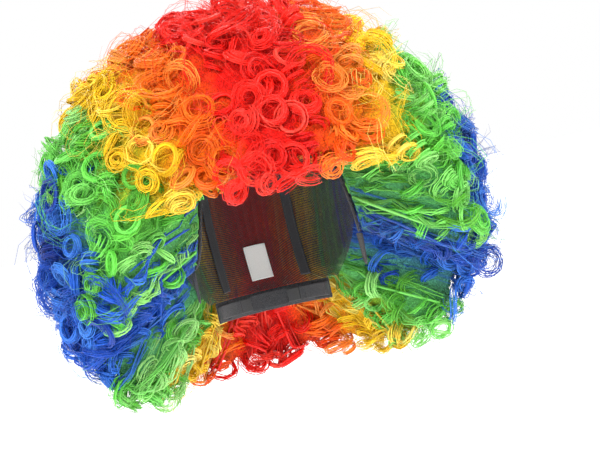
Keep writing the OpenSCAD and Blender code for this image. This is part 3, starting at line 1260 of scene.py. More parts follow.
@dataclass
class Spots:
    """Places for threads: where each is, how it runs and which way the cloth faces."""

    places: list[Array] = field(default_factory=list)
    runs: list[Array] = field(default_factory=list)
    faces: list[Array] = field(default_factory=list)

    def add(self, places: Array, runs: Array, faces: Array) -> None:
        """Adds some threads."""
        self.places.append(places)
        self.runs.append(runs)
        self.faces.append(faces)

    def seam(
        self, line: tuple[Array, Array], pitch: float, shown: float = 0.72, zigzag: float = 0.0
    ) -> None:
        """A row of machine stitches along a line.

        Args:
            line: the line's points and the way the cloth faces at each.
            pitch: the length of one stitch.
            shown: the share of the pitch that the thread covers.
            zigzag: the width of the zigzag, or 0 for a straight row.
        """
        path, face = line
        run = np.concatenate([[0.0], np.cumsum(np.linalg.norm(np.diff(path, axis=0), axis=1))])
        count = max(2, int(run[-1] / pitch))
        at = (np.arange(count) + 0.5) / count * run[-1]
        step = run[-1] / count

        def sample(rows: Array, where: Array) -> Array:
            """Rows along the line at given lengths."""
            return np.stack([np.interp(where, run, rows[:, k]) for k in range(3)], -1)

        forward = unit(sample(path, np.minimum(at + 0.3 * step, run[-1])) - sample(path, at - 0.3 * step))
        out = unit(sample(face, at))
        across = np.cross(out, forward) * zigzag * np.where(np.arange(count) % 2, 1.0, -1.0)[:, None]
        self.add(sample(path, at), forward * step * shown + across, out)

    def field_over(
        self, strip: Strip, inside: bool, spacing: float, run: float, rng: np.random.Generator
    ) -> None:
        """Threads spread all over a strip's face, each turned by chance.

        Args:
            strip: the strip.
            inside: whether they stand on its inner face.
            spacing: the space between them.
            run: the length from one end of a thread to the other.
            rng: where the chance comes from.
        """
        face, back = strip.faces(inside)
        rows, cols = face.shape[:2]
        length = float(np.linalg.norm(np.diff(face[:, cols // 2], axis=0), axis=1).sum())
        width = float(np.linalg.norm(np.diff(face[rows // 2], axis=0), axis=1).sum())
        a, b = np.meshgrid(
            np.linspace(0.03, 0.97, int(length / spacing)),
            np.linspace(0.06, 0.94, int(width / spacing)),
            indexing="ij",
        )
        a = np.clip(a.ravel() + rng.uniform(-0.3, 0.3, a.size) * spacing / length, 0.01, 0.99)
        b = np.clip(b.ravel() + rng.uniform(-0.3, 0.3, b.size) * spacing / width, 0.03, 0.97)
        i, j = a * (rows - 1), b * (cols - 1)
        low_i, low_j = np.floor(i).astype(int), np.floor(j).astype(int)
        part_i, part_j = (i - low_i)[:, None], (j - low_j)[:, None]

        def mixed(grid: Array) -> Array:
            """The grid's value at each spot."""
            first = grid[low_i, low_j] * (1 - part_j) + grid[low_i, low_j + 1] * part_j
            second = grid[low_i + 1, low_j] * (1 - part_j) + grid[low_i + 1, low_j + 1] * part_j
            return first * (1 - part_i) + second * part_i

        place = mixed(face)
        out = unit(place - mixed(back))
        side = unit(np.cross(out, rng.normal(0.0, 1.0, place.shape)))
        self.add(place, side * run, out)


@dataclass(frozen=True)
class Thread:
    """A kind of thread: its radius, how far it stands up and how it ends."""

    radius: float
    rise: float
    end_lift: float = 0.0
    sink: float = 0.0001
    steps: int = 4
    sides: int = 4


STITCH = Thread(radius=0.00016, rise=0.00022)
WEFT_STITCH = Thread(radius=0.00020, rise=0.00026, sides=3)
PILE_LOOP = Thread(radius=0.00007, rise=0.00016, sink=0.00002, sides=3)
HOOK = Thread(radius=0.00008, rise=0.00014, end_lift=0.00006, sink=0.00002)


class Cap:
    """The cap under the hair: nets, weft rows, bands, tapes, label, ear tabs and adjusters."""

    WEFT_ROWS = {
        "red": (-15.0, -7.5, 0.0, 7.5, 15.0),
        "orange": (23.5, 30.0),
        "yellow": (37.5, 43.5),
        "green": (50.0, 55.5, 61.0),
        "blue": (67.0, 72.0, 77.0, 82.0),
    }
    CUT_SHARE = 0.93
    FIRST_SHARE = 0.01
    TAPE_END = 0.98
    PILE_SPACING = 0.0009
    STRAP_RIBS = 10.0

    def __init__(self, finishes: "Finishes") -> None:
        """Builds the thread tree."""
        self.finishes = finishes
        self.threads = ThreadTree()
        self.rng = np.random.default_rng(RNG_SEED + 1)

    def done(self, piece: bpy.types.Object, body: str, slot: str, node: str = "") -> None:
        """Lets a piece ride on its body and hides the CAD node that it stands for.

        Args:
            piece: the piece.
            body: the body it rides on.
            slot: not used.
            node: the CAD node that it stands for, if any.
        """
        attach(piece, body)
        if node:
            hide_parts(node)
        log.info("%s: %d triangles", piece.name, triangles(piece))

    def lay(
        self,
        strip: Strip,
        node: str,
        word: str,
        material: bpy.types.Material,
        body: str,
        slot: str,
    ) -> None:
        """Makes a strip the piece that stands for a CAD node.

        Args:
            strip: the strip.
            node: the CAD node.
            word: what the piece's name adds to the node's.
            material: its cloth.
            body: the body it rides on.
            slot: not used.
        """
        self.done(strip.piece(f"{node}_{word}", material), body, slot, node)

    def sew(
        self,
        name: str,
        spots: Spots,
        thread: Thread,
        material: bpy.types.Material,
        body: str,
        slot: str,
        tone: tuple[float, float, float] = (0.0, 0.0, 0.0),
    ) -> None:
        """Grows the threads at all the spots as one piece.

        Args:
            name: the piece's name.
            spots: where the threads are.
            thread: their kind.
            material: what they are made of.
            body: the body they ride on.
            slot: not used.
            tone: their colour, for a material that reads it.
        """
        places, runs, faces = (np.concatenate(rows) for rows in (spots.places, spots.runs, spots.faces))
        vectors = {"run": runs, "face": faces}
        points = attribute_points(name + "_spots", places, vectors, {}, {}, np.array(tone))
        grown = self.threads.grow(
            name, points, material, Profile_Sides=thread.sides, Steps=thread.steps, Rise=thread.rise,
            End_Lift=thread.end_lift, Sink=thread.sink, Thread_Radius=thread.radius, Seed=len(places),
        )
        self.done(grown, body, slot)

    # ---- nets and weft rows

    def _net(self, node: str, lats: tuple[float, float]) -> None:
        """One panel of stretch net, cut a little smaller than the head stretches it.

        Args:
            node: the CAD node.
            lats: where the panel starts and ends.
        """
        rows = np.linspace(*lats, 41)
        lat, share = np.meshgrid(rows, np.linspace(0.0, 1.0, 121), indexing="ij")
        strip = Strip.on_head(lat, HEAD.cap_turn(lat, share), 0.0, SIZES.net_t)
        piece = strip.piece(node + "_knit", self.finishes.net())
        middle = (strip.inner + strip.outer) / 2
        sides = np.cross(middle[1:, :-1] - middle[:-1, :-1], middle[:-1, 1:] - middle[:-1, :-1])
        self.done(piece, "cap", "stretch_net", node)

    def nets(self) -> None:
        """The three panels."""
        self._net("crown_net", (-SIZES.seam_lat, SIZES.seam_lat))
        for side in Side:
            far = (SIZES.seam_lat + SIZES.net_gap) * side.value, HEAD.ear_lat * side.value
            self._net(side.word + "_side_net", tuple(sorted(far)))

    def wefts(self) -> None:
        """The rows that the hair is sewn to, with their stitches, for each colour and side."""
        for dye in DYES:
            for side in (None,) if dye.name == "red" else tuple(Side):
                self._weft_group(dye, side)

    def _weft_group(self, dye: Dye, side: Side | None) -> None:
        """The weft rows of one colour on one side.

        Args:
            dye: the colour.
            side: the side, or None for the colour over the middle.
        """
        node = "wefts_" + dye.name + ("_" + side.word if side else "")
        strips, spots = [], Spots()
        share = np.linspace(self.FIRST_SHARE, HEAD.root_end, 84)
        edge = np.linspace(-SIZES.weft_half_lat, SIZES.weft_half_lat, 6)
        for row in self.WEFT_ROWS[dye.name]:
            middle = HEAD.drawn_lat(row * (side.value if side else 1.0), share / HEAD.root_end)
            lat = middle[:, None] + edge
            turn = HEAD.cap_turn(lat, share[:, None])
            strip = Strip.on_head(lat, turn, SIZES.net_t + SIZES.weft_gap, SIZES.weft_t).ribbed(3.0, 0.0002)
            strips.append(strip)
            for inside in (True, False):
                spots.seam(strip.line(0.5, inside), pitch=0.0060, shown=0.8, zigzag=0.0010)
        mesh = ClothShell.joined_mesh(node + "_rows", [(strip.inner, strip.outer) for strip in strips])
        mesh.materials.append(self.finishes.weft(dye))
        slot = "fibre_" + dye.name
        self.done(link_object(node + "_rows", mesh), "cap", slot, node)
        self.sew(node + "_stitches", spots, WEFT_STITCH, self.finishes.fibre(dye), "cap", slot, dye.mid)

    # ---- bands, tapes and label

    def front_band(self) -> None:
        """The ribbed elastic band along the hairline, zigzagged along both edges."""
        rows = np.linspace(-SIZES.front_lat, SIZES.front_lat, 150)
        part = np.linspace(0.0, 1.0, 45)
        lat = np.repeat(rows[:, None], len(part), 1)
        turn = HEAD.front_turn(lat) + SIZES.front_turns(lat) * part
        strip = Strip.on_head(lat, turn, -SIZES.sewn_gap - SIZES.tape_t, SIZES.tape_t)
        self._band("front_band", strip, ribs=11.0)

    def nape_band(self) -> None:
        """The ribbed elastic band behind the neck."""
        self._band("nape_band", Strip.on_nape("nape_band", 140, 61), ribs=15.0)

    def _band(self, node: str, strip: Strip, ribs: float) -> None:
        """A ribbed elastic band with a zigzag along each edge.

        Args:
            node: the CAD node.
            strip: the band's plain strip.
            ribs: how many ribs it has.
        """
        ribbed = strip.ribbed(ribs, 0.00022)
        self.lay(ribbed, node, "elastic", self.finishes.cloth("edge_band"), "cap", "edge_band")
        spots = Spots()
        for across in (0.09, 0.91):
            spots.seam(ribbed.line(across, True), pitch=0.0021, shown=1.0, zigzag=0.0019)
        black = self.finishes.thread("black_thread")
        self.sew(node + "_stitches", spots, STITCH, black, "cap", "edge_band")

    def seam_tapes(self) -> None:
        """The ribbon over each seam of the net, with a row of stitches along each edge."""
        half = SIZES.tape_half_lat
        ribbon, black = self.finishes.cloth("seam_ribbon"), self.finishes.thread("black_thread")
        for side in Side:
            node = side.word + "_seam_tape"
            reach = SIZES.front_turns(np.array(SIZES.seam_lat + half)) + 1.0
            span = HEAD.nape_turn(np.array(SIZES.seam_lat)) - HEAD.front_turn(np.array(SIZES.seam_lat))
            share = np.linspace(float(reach / span), self.TAPE_END, 140)
            lat = side.value * SIZES.seam_lat + np.linspace(-half, half, 19)
            strip = Strip.in_cap(lat, share, SIZES.tape_t).ribbed(1.0, 0.0001)
            self.lay(strip, node, "ribbon", ribbon, "cap", "seam_tape")
            spots = Spots()
            for across in (0.17, 0.83):
                spots.seam(strip.line(across, True), pitch=0.0028)
            self.sew(node + "_stitches", spots, STITCH, black, "cap", "seam_tape")

    def label(self) -> None:
        """The blank satin label, stitched all round."""
        share = np.linspace(*SIZES.label_shares, 61)
        lat = np.linspace(-SIZES.label_half_lat, SIZES.label_half_lat, 41)
        strip = Strip.in_cap(lat, share, SIZES.label_t).ribbed(1.0, 0.0001)
        self.lay(strip, "size_label", "satin", self.finishes.cloth("label_satin"), "cap", "label_satin")
        spots = Spots()
        for across in (0.08, 0.92):
            spots.seam(strip.line(across, True), pitch=0.0022)
        for row in (3, -4):
            spots.seam(strip.end(row, True), pitch=0.0022)
        white = self.finishes.thread("white_thread")
        self.sew("size_label_stitches", spots, STITCH, white, "cap", "label_satin")

    # ---- adjusters

    def adjusters(self) -> None:
        """The loop strip, and on each side the anchor, elastic strap, strap end and hook tab."""
        loops = Strip.on_nape("nape_loop_strip", 90, 25).ribbed(1.0, 0.00005)
        self.lay(loops, "nape_loop_strip", "tape", self.finishes.cloth("loop_pile"), "cap", "loop_pile")
        pile = Spots()
        pile.field_over(loops, True, spacing=self.PILE_SPACING, run=0.0007, rng=self.rng)
        fibre = self.finishes.thread("pile_thread")
        self.sew("nape_loop_strip_pile", pile, PILE_LOOP, fibre, "cap", "loop_pile")
        for side in Side:
            self._strap(side)
            self._hook_tab(side)

    def _strap(self, side: Side) -> None:
        """One side's strap, with the anchor and the stitched end that hold it."""
        elastic, black = self.finishes.cloth("strap_elastic"), self.finishes.thread("black_thread")
        end_body = side.word + "_adjuster_end"
        ribs = self.STRAP_RIBS, 0.0002
        anchor = Strip.on_nape(side.word + "_strap_anchor", 9, 41).ribbed(*ribs)
        self.lay(anchor, side.word + "_strap_anchor", "fold", elastic, "cap", "strap_elastic")
        strap = Strip.on_nape(side.word + "_elastic_strap", 70, 41).ribbed(*ribs)
        piece = strap.piece(side.word + "_elastic_strap_braid", elastic)
        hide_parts(side.word + "_elastic_strap")
        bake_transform(piece)
        end = Strip.on_nape(side.word + "_strap_end", 15, 41).ribbed(*ribs)
        self.lay(end, side.word + "_strap_end", "fold", elastic, end_body, "strap_elastic")
        for name, strip, body, rows in (
            ("_strap_anchor_stitches", anchor, "cap", (2, 6)),
            ("_strap_end_stitches", end, end_body, (3, 7, 11)),
        ):
            spots = Spots()
            for row in rows:
                spots.seam(strip.end(row, True), pitch=0.0018)
            self.sew(side.word + name, spots, STITCH, black, body, "strap_elastic")

    def _hook_tab(self, side: Side) -> None:
        """One side's hook tab, with its hooks on the face towards the loops."""
        node, body = side.word + "_hook_tab", side.word + "_hook"
        tab = Strip.on_nape(node, 25, 25).ribbed(1.0, 0.00005)
        self.lay(tab, node, "tape", self.finishes.cloth("hook_tape"), body, "hook_pile")
        hooks = Spots()
        hooks.field_over(tab, False, spacing=self.PILE_SPACING, run=0.0005, rng=self.rng)
        self.sew(node + "_hooks", hooks, HOOK, self.finishes.thread("hook_thread"), body, "hook_pile")

    def build(self) -> None:
        """Builds every piece of the cap."""
        self.nets()
        self.wefts()
        self.front_band()
        self.nape_band()
        self.seam_tapes()
        self.label()
        self.adjusters()
        for side in Side:
            EarTab(side, self).build()


@dataclass
class EarTab:
    """A cloth tab with a round end and a bound edge, sewn on in front of an ear."""

    side: Side
    cap: Cap
    end_r: float = 0.006
    bevel: float = 0.0010
    stitch_scale: float = 0.80
    stitch_share: float = 0.56
    rings: tuple[tuple[float, float], ...] = (
        (0.30, 0.62), (0.55, 0.62), (0.74, 0.60), (0.84, 0.52), (0.87, 0.50),
        (0.89, 0.86), (0.92, 1.00), (0.96, 1.00), (0.985, 0.75),
    )

    def _outline(self, half_w: float, length: float) -> Array:
        """The tab's outline from its top edge's middle.

        Args:
            half_w: half of the tab's width.
            length: how far it hangs down.

        Returns:
            Points along the tab's width and down.
        """
        arc = np.radians(np.linspace(0.0, -180.0, 33))
        tip = np.stack([self.end_r * np.cos(arc), self.end_r - length + self.end_r * np.sin(arc)], -1)
        corners = [[half_w, -self.bevel], tip, [-half_w, -self.bevel], [-half_w + self.bevel, 0.0]]
        points = np.vstack([[[half_w - self.bevel, 0.0]], *(np.atleast_2d(c) for c in corners)])
        closed = np.vstack([points, points[:1]])
        run = np.concatenate([[0.0], np.cumsum(np.linalg.norm(np.diff(closed, axis=0), axis=1))])
        at = np.linspace(0.0, run[-1], 120, endpoint=False)
        return np.stack([np.interp(at, run, closed[:, k]) for k in range(2)], -1)

    def _points(self, outline: Array, place: Array, half_t: float) -> Array:
        """The rings of the tab's two faces, and the one round its edge where they meet.

        Args:
            outline: the tab's outline.
            place: the middle of its top edge.
            half_t: half of its thickness.

        Returns:
            The points, ring by ring.
        """
        middle = outline.mean(0)
        rings = [(scale, sign * share * half_t) for sign in (1.0, -1.0) for scale, share in self.rings]
        rings.append((1.0, 0.0))
        flats = [np.insert(middle + (outline - middle) * scale, 0, off, axis=1) for scale, off in rings]
        return np.vstack(flats) + place

    def _faces(self, around: int) -> list[list[int]]:
        """The faces between the rings.

        Args:
            around: how many points a ring has.

        Returns:
            The faces, with one cap in the middle of each side.
        """
        faces = []
        count = len(self.rings)
        for block in (0, 1):
            base = block * count * around
            rings = [base + k * around for k in range(count)] + [2 * count * around]
            for a, b in zip(rings, rings[1:]):
                for k in range(around):
                    m = (k + 1) % around
                    faces.append([a + k, a + m, b + m, b + k])
            faces.append([base + k for k in range(around)])
        return faces

    def _mesh(self, name: str, points: Array, around: int) -> bpy.types.Mesh:
        """The tab as a closed mesh with outward faces and its map.

        Args:
            name: the mesh's name.
            points: its points, ring by ring.
            around: how many points a ring has.

        Returns:
            The mesh.
        """
        mesh = bpy.data.meshes.new(name)
        mesh.from_pydata(points.tolist(), [], self._faces(around))
        shape = bmesh.new()
        shape.from_mesh(mesh)
        bmesh.ops.recalc_face_normals(shape, faces=shape.faces)
        shape.to_mesh(mesh)
        shape.free()
        lay_map(mesh, points[:, 1:])
        mesh.shade_smooth()
        return mesh

    def build(self) -> None:
        """The tab and its stitches."""
        node, body = self.side.word + "_ear_tab", self.side.word + "_ear_flap"
        low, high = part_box(node)
        place = np.array([(low.x + high.x) / 2, (low.y + high.y) / 2, high.z])
        half_t = (high.x - low.x) / 2
        outline = self._outline((high.y - low.y) / 2, high.z - low.z)
        mesh = self._mesh(node + "_cloth", self._points(outline, place, half_t), len(outline))
        mesh.materials.append(self.cap.finishes.cloth("edge_band"))
        self.cap.done(link_object(node + "_cloth", mesh), body, "edge_band", node)
        spots = Spots()
        middle = outline.mean(0)
        edge = middle + (np.vstack([outline, outline[:1]]) - middle) * self.stitch_scale
        for sign in (1.0, -1.0):
            line = np.insert(edge, 0, sign * self.stitch_share * half_t, axis=1) + place
            spots.seam((line, np.tile([sign, 0.0, 0.0], (len(line), 1))), pitch=0.0024)
        black = self.cap.finishes.thread("black_thread")
        self.cap.sew(node + "_stitches", spots, STITCH, black, body, "edge_band")


# ---------------------------------------------------------------- finishes


def principled(name: str) -> tuple[bpy.types.Material, bpy.types.Node]:
    """A new material with its Principled shader."""
    material = bpy.data.materials.new(name)
    material.use_nodes = True
    return material, material.node_tree.nodes["Principled BSDF"]


@dataclass(frozen=True)
class ClothLook:
    """A woven cloth: its tones, its threads for each metre both ways, and its relief."""

    name: str
    dark: tuple[float, float, float]
    light: tuple[float, float, float]
    warp: float
    weft: float
    fuzz: float = 0.8
    depth: float = 0.0002
    sheen: float = 0.2
    gloss: float = 0.4
    rough: float | None = None


@dataclass(frozen=True)
class ThreadLook:
    """A thread's tones and roughness."""

    dark: tuple[float, float, float]
    light: tuple[float, float, float]
    rough: float


@dataclass(frozen=True)
class FibreLook:
    """How the dyed fibre looks: its root darkened as painted shade, its streaks, its relief and its gloss.
    """

    # How much the fibre darkens towards its root: painted shade deep inside the hair.
    root_dark: float = 0.40
    streak: float = 0.42
    fineness: float = 4.5
    relief: float = 0.5
    depth: float = 0.0004
    gloss: float = 0.35


FIBRE = FibreLook()


def noise_at(
    tree: bpy.types.NodeTree, where: Value, scale: float, detail: float, distortion: float = 0.0
) -> Value:
    """A noise texture in a node tree.

    Args:
        tree: the tree.
        where: the place that it is read at.
        scale: how fine it is.
        detail: how many finer layers it has.
        distortion: how much it is bent.

    Returns:
        Its value.
    """
    noise = tree.nodes.new("ShaderNodeTexNoise")
    for name, value in (("Scale", scale), ("Detail", detail), ("Distortion", distortion), ("Vector", where)):
        feed(tree, noise.inputs[name], value)
    return Value(tree, noise.outputs["Fac"])


def mixed_colour(
    tree: bpy.types.NodeTree, share: Value, dark: "Value | tuple", light: "Value | tuple"
) -> Value:
    """A colour between two.

    Args:
        tree: the tree.
        share: 0 for the dark one, 1 for the light one.
        dark: the first colour.
        light: the second colour.

    Returns:
        The colour.
    """
    blend = tree.nodes.new("ShaderNodeMix")
    blend.data_type = "RGBA"
    for number, value in ((0, share), (6, dark), (7, light)):
        feed(tree, blend.inputs[number], value)
    return Value(tree, blend.outputs[2])


def shader_group(
    name: str, takes: tuple[tuple[str, str], ...]
) -> tuple[bpy.types.NodeTree, dict[str, Value], bpy.types.Node]:
    """A new shader group that gives a colour, a roughness and a height.

    Args:
        name: the group's name.
        takes: the name and kind of each input.

    Returns:
        The group, its inputs by name and its end node.
    """
    tree = bpy.data.node_groups.new(name, "ShaderNodeTree")
    gives = (("Color", "Color"), ("Roughness", "Float"), ("Height", "Float"))
    for way, rows in (("INPUT", takes), ("OUTPUT", gives)):
        for word, kind in rows:
            tree.interface.new_socket(name=word, in_out=way, socket_type="NodeSocket" + kind)
    start = tree.nodes.new("NodeGroupInput")
    end = tree.nodes.new("NodeGroupOutput")
    return tree, {s.name: Value(tree, s) for s in start.outputs if s.name}, end


class Shade:
    """A new material and its node tree, with the few nodes that the finishes share."""

    def __init__(self, name: str) -> None:
        """Makes the material with its Principled shader."""
        self.material, self.shader = principled(name)
        self.tree = self.material.node_tree

    def attribute(self, name: str, out: str = "Fac") -> Value:
        """Reads a vertex attribute."""
        read = self.tree.nodes.new("ShaderNodeAttribute")
        read.attribute_name = name
        return Value(self.tree, read.outputs[out])

    def weave_map(self) -> Value:
        """The cloth's own map, in metres."""
        flat = self.tree.nodes.new("ShaderNodeUVMap")
        flat.uv_map = "weave"
        return Value(self.tree, flat.outputs[0])

    def place(self) -> Value:
        """The place in the object."""
        return Value(self.tree, self.tree.nodes.new("ShaderNodeTexCoord").outputs["Object"])

    def group(
        self, shared: bpy.types.NodeTree, given: dict[str, "Value | float | tuple"]
    ) -> dict[str, Value]:
        """Puts a shared group into the material.

        Args:
            shared: the group.
            given: its inputs by name.

        Returns:
            Its outputs by name.
        """
        node = self.tree.nodes.new("ShaderNodeGroup")
        node.node_tree = shared
        for name, value in given.items():
            feed(self.tree, node.inputs[name], value)
        return {s.name: Value(self.tree, s) for s in node.outputs}

    def dress(self, **looks: "Value | float | tuple") -> None:
        """Sets the shader's own inputs, named with _ for a space."""
        for name, value in looks.items():
            feed(self.tree, self.shader.inputs[name.replace("_", " ")], value)

    def relief(self, height: Value, depth: float, strength: float = 1.0) -> None:
        """Raises the surface through a bump node.

        Args:
            height: how high each place is.
            depth: the bump's distance.
            strength: the bump's strength.
        """
        bump = self.tree.nodes.new("ShaderNodeBump")
        for name, value in (("Height", height), ("Distance", depth), ("Strength", strength)):
            feed(self.tree, bump.inputs[name], value)
        self.dress(Normal=Value(self.tree, bump.outputs[0]))


# Each cloth's dark and light tones are mixed by the weave's height: painted shade in the dips, painted
# highlight on the raised threads.
CLOTHS = {
    look.name: look
    for look in (
        ClothLook("stretch_net", (0.010, 0.010, 0.012), (0.045, 0.045, 0.05), 1700.0, 1700.0, fuzz=1.0),
        ClothLook("edge_band", (0.008, 0.008, 0.010), (0.050, 0.050, 0.055), 900.0, 1300.0, depth=0.0003),
        ClothLook("strap_elastic", (0.012, 0.012, 0.014), (0.075, 0.075, 0.08), 800.0, 1200.0),
        ClothLook("seam_ribbon", (0.010, 0.010, 0.012), (0.040, 0.040, 0.045), 1500.0, 350.0, gloss=0.5),
        ClothLook("loop_pile", (0.010, 0.010, 0.012), (0.06, 0.06, 0.065), 700.0, 700.0, fuzz=1.6),
        ClothLook("hook_tape", (0.010, 0.010, 0.011), (0.040, 0.040, 0.043), 1100.0, 1100.0, rough=0.45),
        ClothLook(
            "label_satin", (0.72, 0.72, 0.69), (0.90, 0.90, 0.88), 3200.0, 260.0,
            fuzz=0.5, depth=0.00006, sheen=0.4, gloss=0.6, rough=0.34,
        ),
    )
}
THREADS = {
    "black_thread": ThreadLook((0.010, 0.010, 0.012), (0.10, 0.10, 0.11), 0.5),
    "white_thread": ThreadLook((0.55, 0.55, 0.53), (0.90, 0.90, 0.88), 0.5),
    "pile_thread": ThreadLook((0.015, 0.015, 0.017), (0.11, 0.11, 0.12), 0.6),
    "hook_thread": ThreadLook((0.03, 0.03, 0.032), (0.16, 0.16, 0.17), 0.3),
}
NET_PITCH = 0.0021
NET_THREAD = 0.36


class Finishes:
    """The wig's materials, each built once."""

    def __init__(self) -> None:
        """Builds the shared node groups."""
        self._shade = self._fibre_group()
        self._weave = self._cloth_group()

    def _fibre_group(self) -> bpy.types.NodeTree:
        """Group for dyed fibre: streaks that run along the strand, and painted shade that darkens it towards
        the root.
        """
        tree, given, end = shader_group("fibre_shade", (
            ("Tone", "Color"), ("Strand", "Float"), ("Along", "Float"), ("Ring", "Vector"),
            ("Root Dark", "Float"), ("Streak", "Float"), ("Fineness", "Float"),
        ))
        across = VectorValue(tree, given["Ring"].socket).scaled(given["Fineness"])
        run = tree.nodes.new("ShaderNodeCombineXYZ")
        feed(tree, run.inputs["Z"], given["Along"] * 2.5 + given["Strand"] * 60.0)
        where = across + VectorValue(tree, run.outputs[0])
        streak = (noise_at(tree, where, scale=1.0, detail=2.0) - 0.5) * 2.4
        # Painted shade: the colour darkens towards the root, where the hair lies deep under the curls.
        root = (given["Along"] * 3.2).eased()
        bright = root * given["Root Dark"] + (given["Root Dark"] * -1.0 + 1.0)
        bright = bright * ((given["Strand"] - 0.5) * given["Streak"] + 1.0)
        bright = bright * (streak * given["Streak"] + 1.0)
        feed(tree, end.inputs["Color"], VectorValue(tree, given["Tone"].socket).scaled(bright))
        feed(tree, end.inputs["Roughness"], given["Strand"] * 0.14 + 0.30)
        feed(tree, end.inputs["Height"], streak)
        return tree

    def _cloth_group(self) -> bpy.types.NodeTree:
        """Group for woven cloth on a map in metres: threads both ways, uneven in tone at random, with the
        raised threads painted lighter and the dips between them painted darker as shade.
        """
        tree, given, end = shader_group("cloth_weave", (
            ("Map", "Vector"), ("Place", "Vector"), ("Dark", "Color"), ("Light", "Color"),
            ("Warp", "Float"), ("Weft", "Float"), ("Fuzz", "Float"),
        ))
        u, v, _ = VectorValue(tree, given["Map"].socket).parts()
        over = (u * given["Warp"] * math.tau).sine()
        under = (v * given["Weft"] * math.tau).sine()
        weave = (over * under) * 0.5 + 0.5
        uneven = noise_at(tree, given["Place"], scale=900.0, detail=3.0)
        height = weave + (uneven - 0.5) * given["Fuzz"]
        # Painted shade and highlight: the colour follows the weave's height, lighter on raised threads and
        # darker in the dips; the uneven noise is random tone.
        feed(tree, end.inputs["Color"], mixed_colour(tree, height, given["Dark"], given["Light"]))
        feed(tree, end.inputs["Roughness"], height * -0.12 + 0.88)
        feed(tree, end.inputs["Height"], height)
        return tree

    @cache
    def fibre(self, dye: Dye) -> bpy.types.Material:
        """Dyed synthetic fibre, satin to glossy.

        Args:
            dye: its colour.

        Returns:
            The material.
        """
        shade = Shade("fibre_" + dye.name)
        out = shade.group(self._shade, {
            "Tone": shade.attribute("tone", "Color"),
            "Strand": shade.attribute("strand"),
            "Along": shade.attribute("along"),
            "Ring": shade.attribute("ring", "Vector"),
            "Root Dark": FIBRE.root_dark,
            "Streak": FIBRE.streak,
            "Fineness": FIBRE.fineness,
        })
        shade.dress(Base_Color=out["Color"], Roughness=out["Roughness"], Specular_IOR_Level=FIBRE.gloss)
        shade.relief(out["Height"], FIBRE.depth, FIBRE.relief)
        return shade.material

    @cache
    def fibre_mass(self) -> bpy.types.Material:
        """The mass of crimped fibre under the curls, in the colour of the tone it is given: its dye darkened
        as painted shade under the curls.
        """
        shade = Shade("fibre_mass")
        crimp = noise_at(shade.tree, shade.place(), scale=260.0, detail=4.0, distortion=2.5)
        tone = VectorValue(shade.tree, shade.attribute("tone", "Color").socket)
        bright = (crimp - 0.5) * 2.2 + 1.0
        shade.dress(Base_Color=tone.scaled(bright), Roughness=0.55, Specular_IOR_Level=0.2)
        shade.relief(crimp, 0.003)
        return shade.material

    def _woven(self, look: ClothLook) -> Shade:
        """A woven cloth made from the shared weave.

        Args:
            look: how it looks.

        Returns:
            The new material's shade.
        """
        shade = Shade(look.name)
        out = shade.group(self._weave, {
            "Map": shade.weave_map(),
            "Place": shade.place(),
            "Dark": (*look.dark, 1.0),
            "Light": (*look.light, 1.0),
            "Warp": look.warp,
            "Weft": look.weft,
            "Fuzz": look.fuzz,
        })
        rough = out["Roughness"] if look.rough is None else look.rough
        shade.dress(Base_Color=out["Color"], Roughness=rough)
        shade.dress(Sheen_Weight=look.sheen, Specular_IOR_Level=look.gloss)
        shade.relief(out["Height"], look.depth)
        return shade

    @cache
    def cloth(self, name: str) -> bpy.types.Material:
        """One of the plain cloths, by its name."""
        return self._woven(CLOTHS[name]).material

    @cache
    def net(self) -> bpy.types.Material:
        """Black knitted stretch net with fine holes."""
        shade = self._woven(CLOTHS["stretch_net"])
        u, v, _ = VectorValue(shade.tree, shade.weave_map().socket).parts()
        first = ((u + v) * (math.pi / NET_PITCH)).sine().math("ABSOLUTE")
        second = ((u - v) * (math.pi / NET_PITCH)).sine().math("ABSOLUTE")
        open_part = first.math("MINIMUM", second)
        shut = ((open_part * -1.0 + NET_THREAD) * 14.0 + 0.5).math("MINIMUM", 1.0).math("MAXIMUM", 0.0)
        shade.dress(Alpha=shut)
        return shade.material

    @cache
    def weft(self, dye: Dye) -> bpy.types.Material:
        """The dyed base of a weft row, whose hairs are folded across it.

        Args:
            dye: its colour.

        Returns:
            The material.
        """
        # The dark tone goes into the dips of the weave as painted shade.
        dark = tuple(0.55 * c for c in dye.deep)
        return self._woven(ClothLook(
            "weft_" + dye.name, dark=dark, light=dye.mid, warp=400.0, weft=1700.0,
            fuzz=0.9, depth=0.0003, sheen=0.1, gloss=0.3, rough=0.55,
        )).material

    @cache
    def thread(self, name: str) -> bpy.types.Material:
        """Sewing thread, pile or hook fibre, lighter and darker along the twist of its plies as painted
        shade and highlight, and uneven in tone at random from thread to thread.

        Args:
            name: which of the threads.

        Returns:
            The material.
        """
        look = THREADS[name]
        shade = Shade(name)
        around, _, _ = VectorValue(shade.tree, shade.attribute("ring", "Vector").socket).parts()
        twist = (shade.attribute("along") * 24.0 + around * 2.0).sine()
        # Painted shade and highlight on the plies: the twist that makes the relief also makes the colour
        # lighter and darker; the strand term is random tone.
        tint = shade.attribute("strand") * 0.6 + twist * 0.25 + 0.2
        colour = mixed_colour(shade.tree, tint, (*look.dark, 1.0), (*look.light, 1.0))
        shade.dress(Base_Color=colour, Roughness=look.rough)
        shade.relief(twist, 0.0001)
        return shade.material


# ---------------------------------------------------------------- the studio


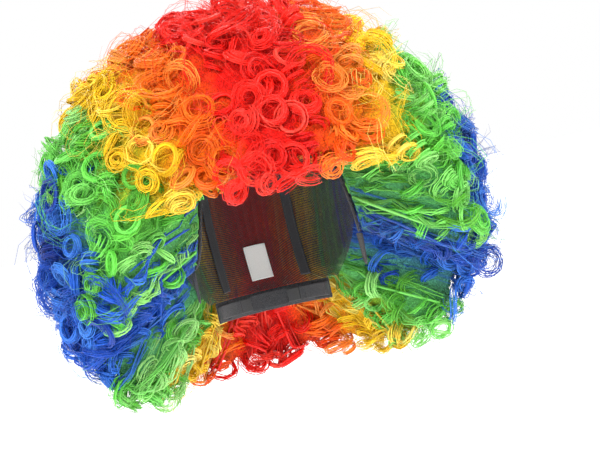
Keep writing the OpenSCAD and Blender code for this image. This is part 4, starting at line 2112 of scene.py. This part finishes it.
@dataclass(frozen=True)
class Studio:
    """A pale floor and soft studio light, with the camera at head height."""

    azimuth: float = -10.0
    elevation: float = 1.5
    roll: float = 13.0
    distance: float = 1.69
    lens: float = 120.0
    aim: tuple[float, float, float] = (0.0275, -0.0053, -0.0114)
    floor_drop: float = 0.25

    def camera(self) -> None:
        """Sets the camera."""
        data = bpy.data.cameras.new("camera")
        data.lens = self.lens
        obj = bpy.data.objects.new("camera", data)
        bpy.context.scene.collection.objects.link(obj)
        a, e = math.radians(self.azimuth), math.radians(self.elevation)
        back = Vector((math.sin(a) * math.cos(e), -math.cos(a) * math.cos(e), math.sin(e)))
        obj.location = Vector(self.aim) + back * self.distance
        turn = (-back).to_track_quat("-Z", "Y").to_matrix().to_4x4()
        rolled = turn @ Matrix.Rotation(math.radians(-self.roll), 4, "Z")
        obj.rotation_euler = rolled.to_euler()
        bpy.context.scene.camera = obj

    def lights(self) -> None:
        """Large soft lights and a near-white world."""
        world = bpy.data.worlds.new("studio")
        world.use_nodes = True
        world.node_tree.nodes["Background"].inputs[0].default_value = (1, 1, 1, 1)
        world.node_tree.nodes["Background"].inputs[1].default_value = 1.0
        bpy.context.scene.world = world
        for name, place, size, power in (
            ("key", (-0.9, -1.6, 1.3), 1.0, 42.0),
            ("fill", (1.4, -1.2, 0.5), 1.2, 18.0),
            ("rim", (0.3, 1.3, 1.2), 1.0, 22.0),
        ):
            data = bpy.data.lights.new(name, "AREA")
            data.size, data.energy = size, power
            lamp = bpy.data.objects.new(name, data)
            lamp.location = place
            lamp.rotation_euler = (Vector((0, 0, 0.03)) - Vector(place)).to_track_quat("-Z", "Y").to_euler()
            bpy.context.scene.collection.objects.link(lamp)

    def floor(self) -> None:
        """A wide pale floor below the wig."""
        z = CAD_BOX[0].z - self.floor_drop
        mesh = bpy.data.meshes.new("floor")
        mesh.from_pydata([(-30, -30, z), (30, -30, z), (30, 30, z), (-30, 30, z)], [], [(0, 1, 2, 3)])
        material, shader = principled("floor")
        shader.inputs["Base Color"].default_value = (0.95, 0.95, 0.95, 1)
        shader.inputs["Roughness"].default_value = 0.9
        shader.inputs["Emission Color"].default_value = (1, 1, 1, 1)
        shader.inputs["Emission Strength"].default_value = 0.6
        mesh.materials.append(material)
        link_object("floor", mesh)

    def build(self) -> None:
        """Camera, lights and floor."""
        self.camera()
        self.lights()
        self.floor()
        bpy.context.scene.view_settings.view_transform = "Standard"


def main() -> None:
    """Builds the wig's looks in order."""
    logging.basicConfig(level=logging.INFO, format="%(message)s")
    Studio().build()
    finishes = Finishes()
    Hair(finishes).build()
    Cap(finishes).build()


if __name__ == "__main__":
    main()
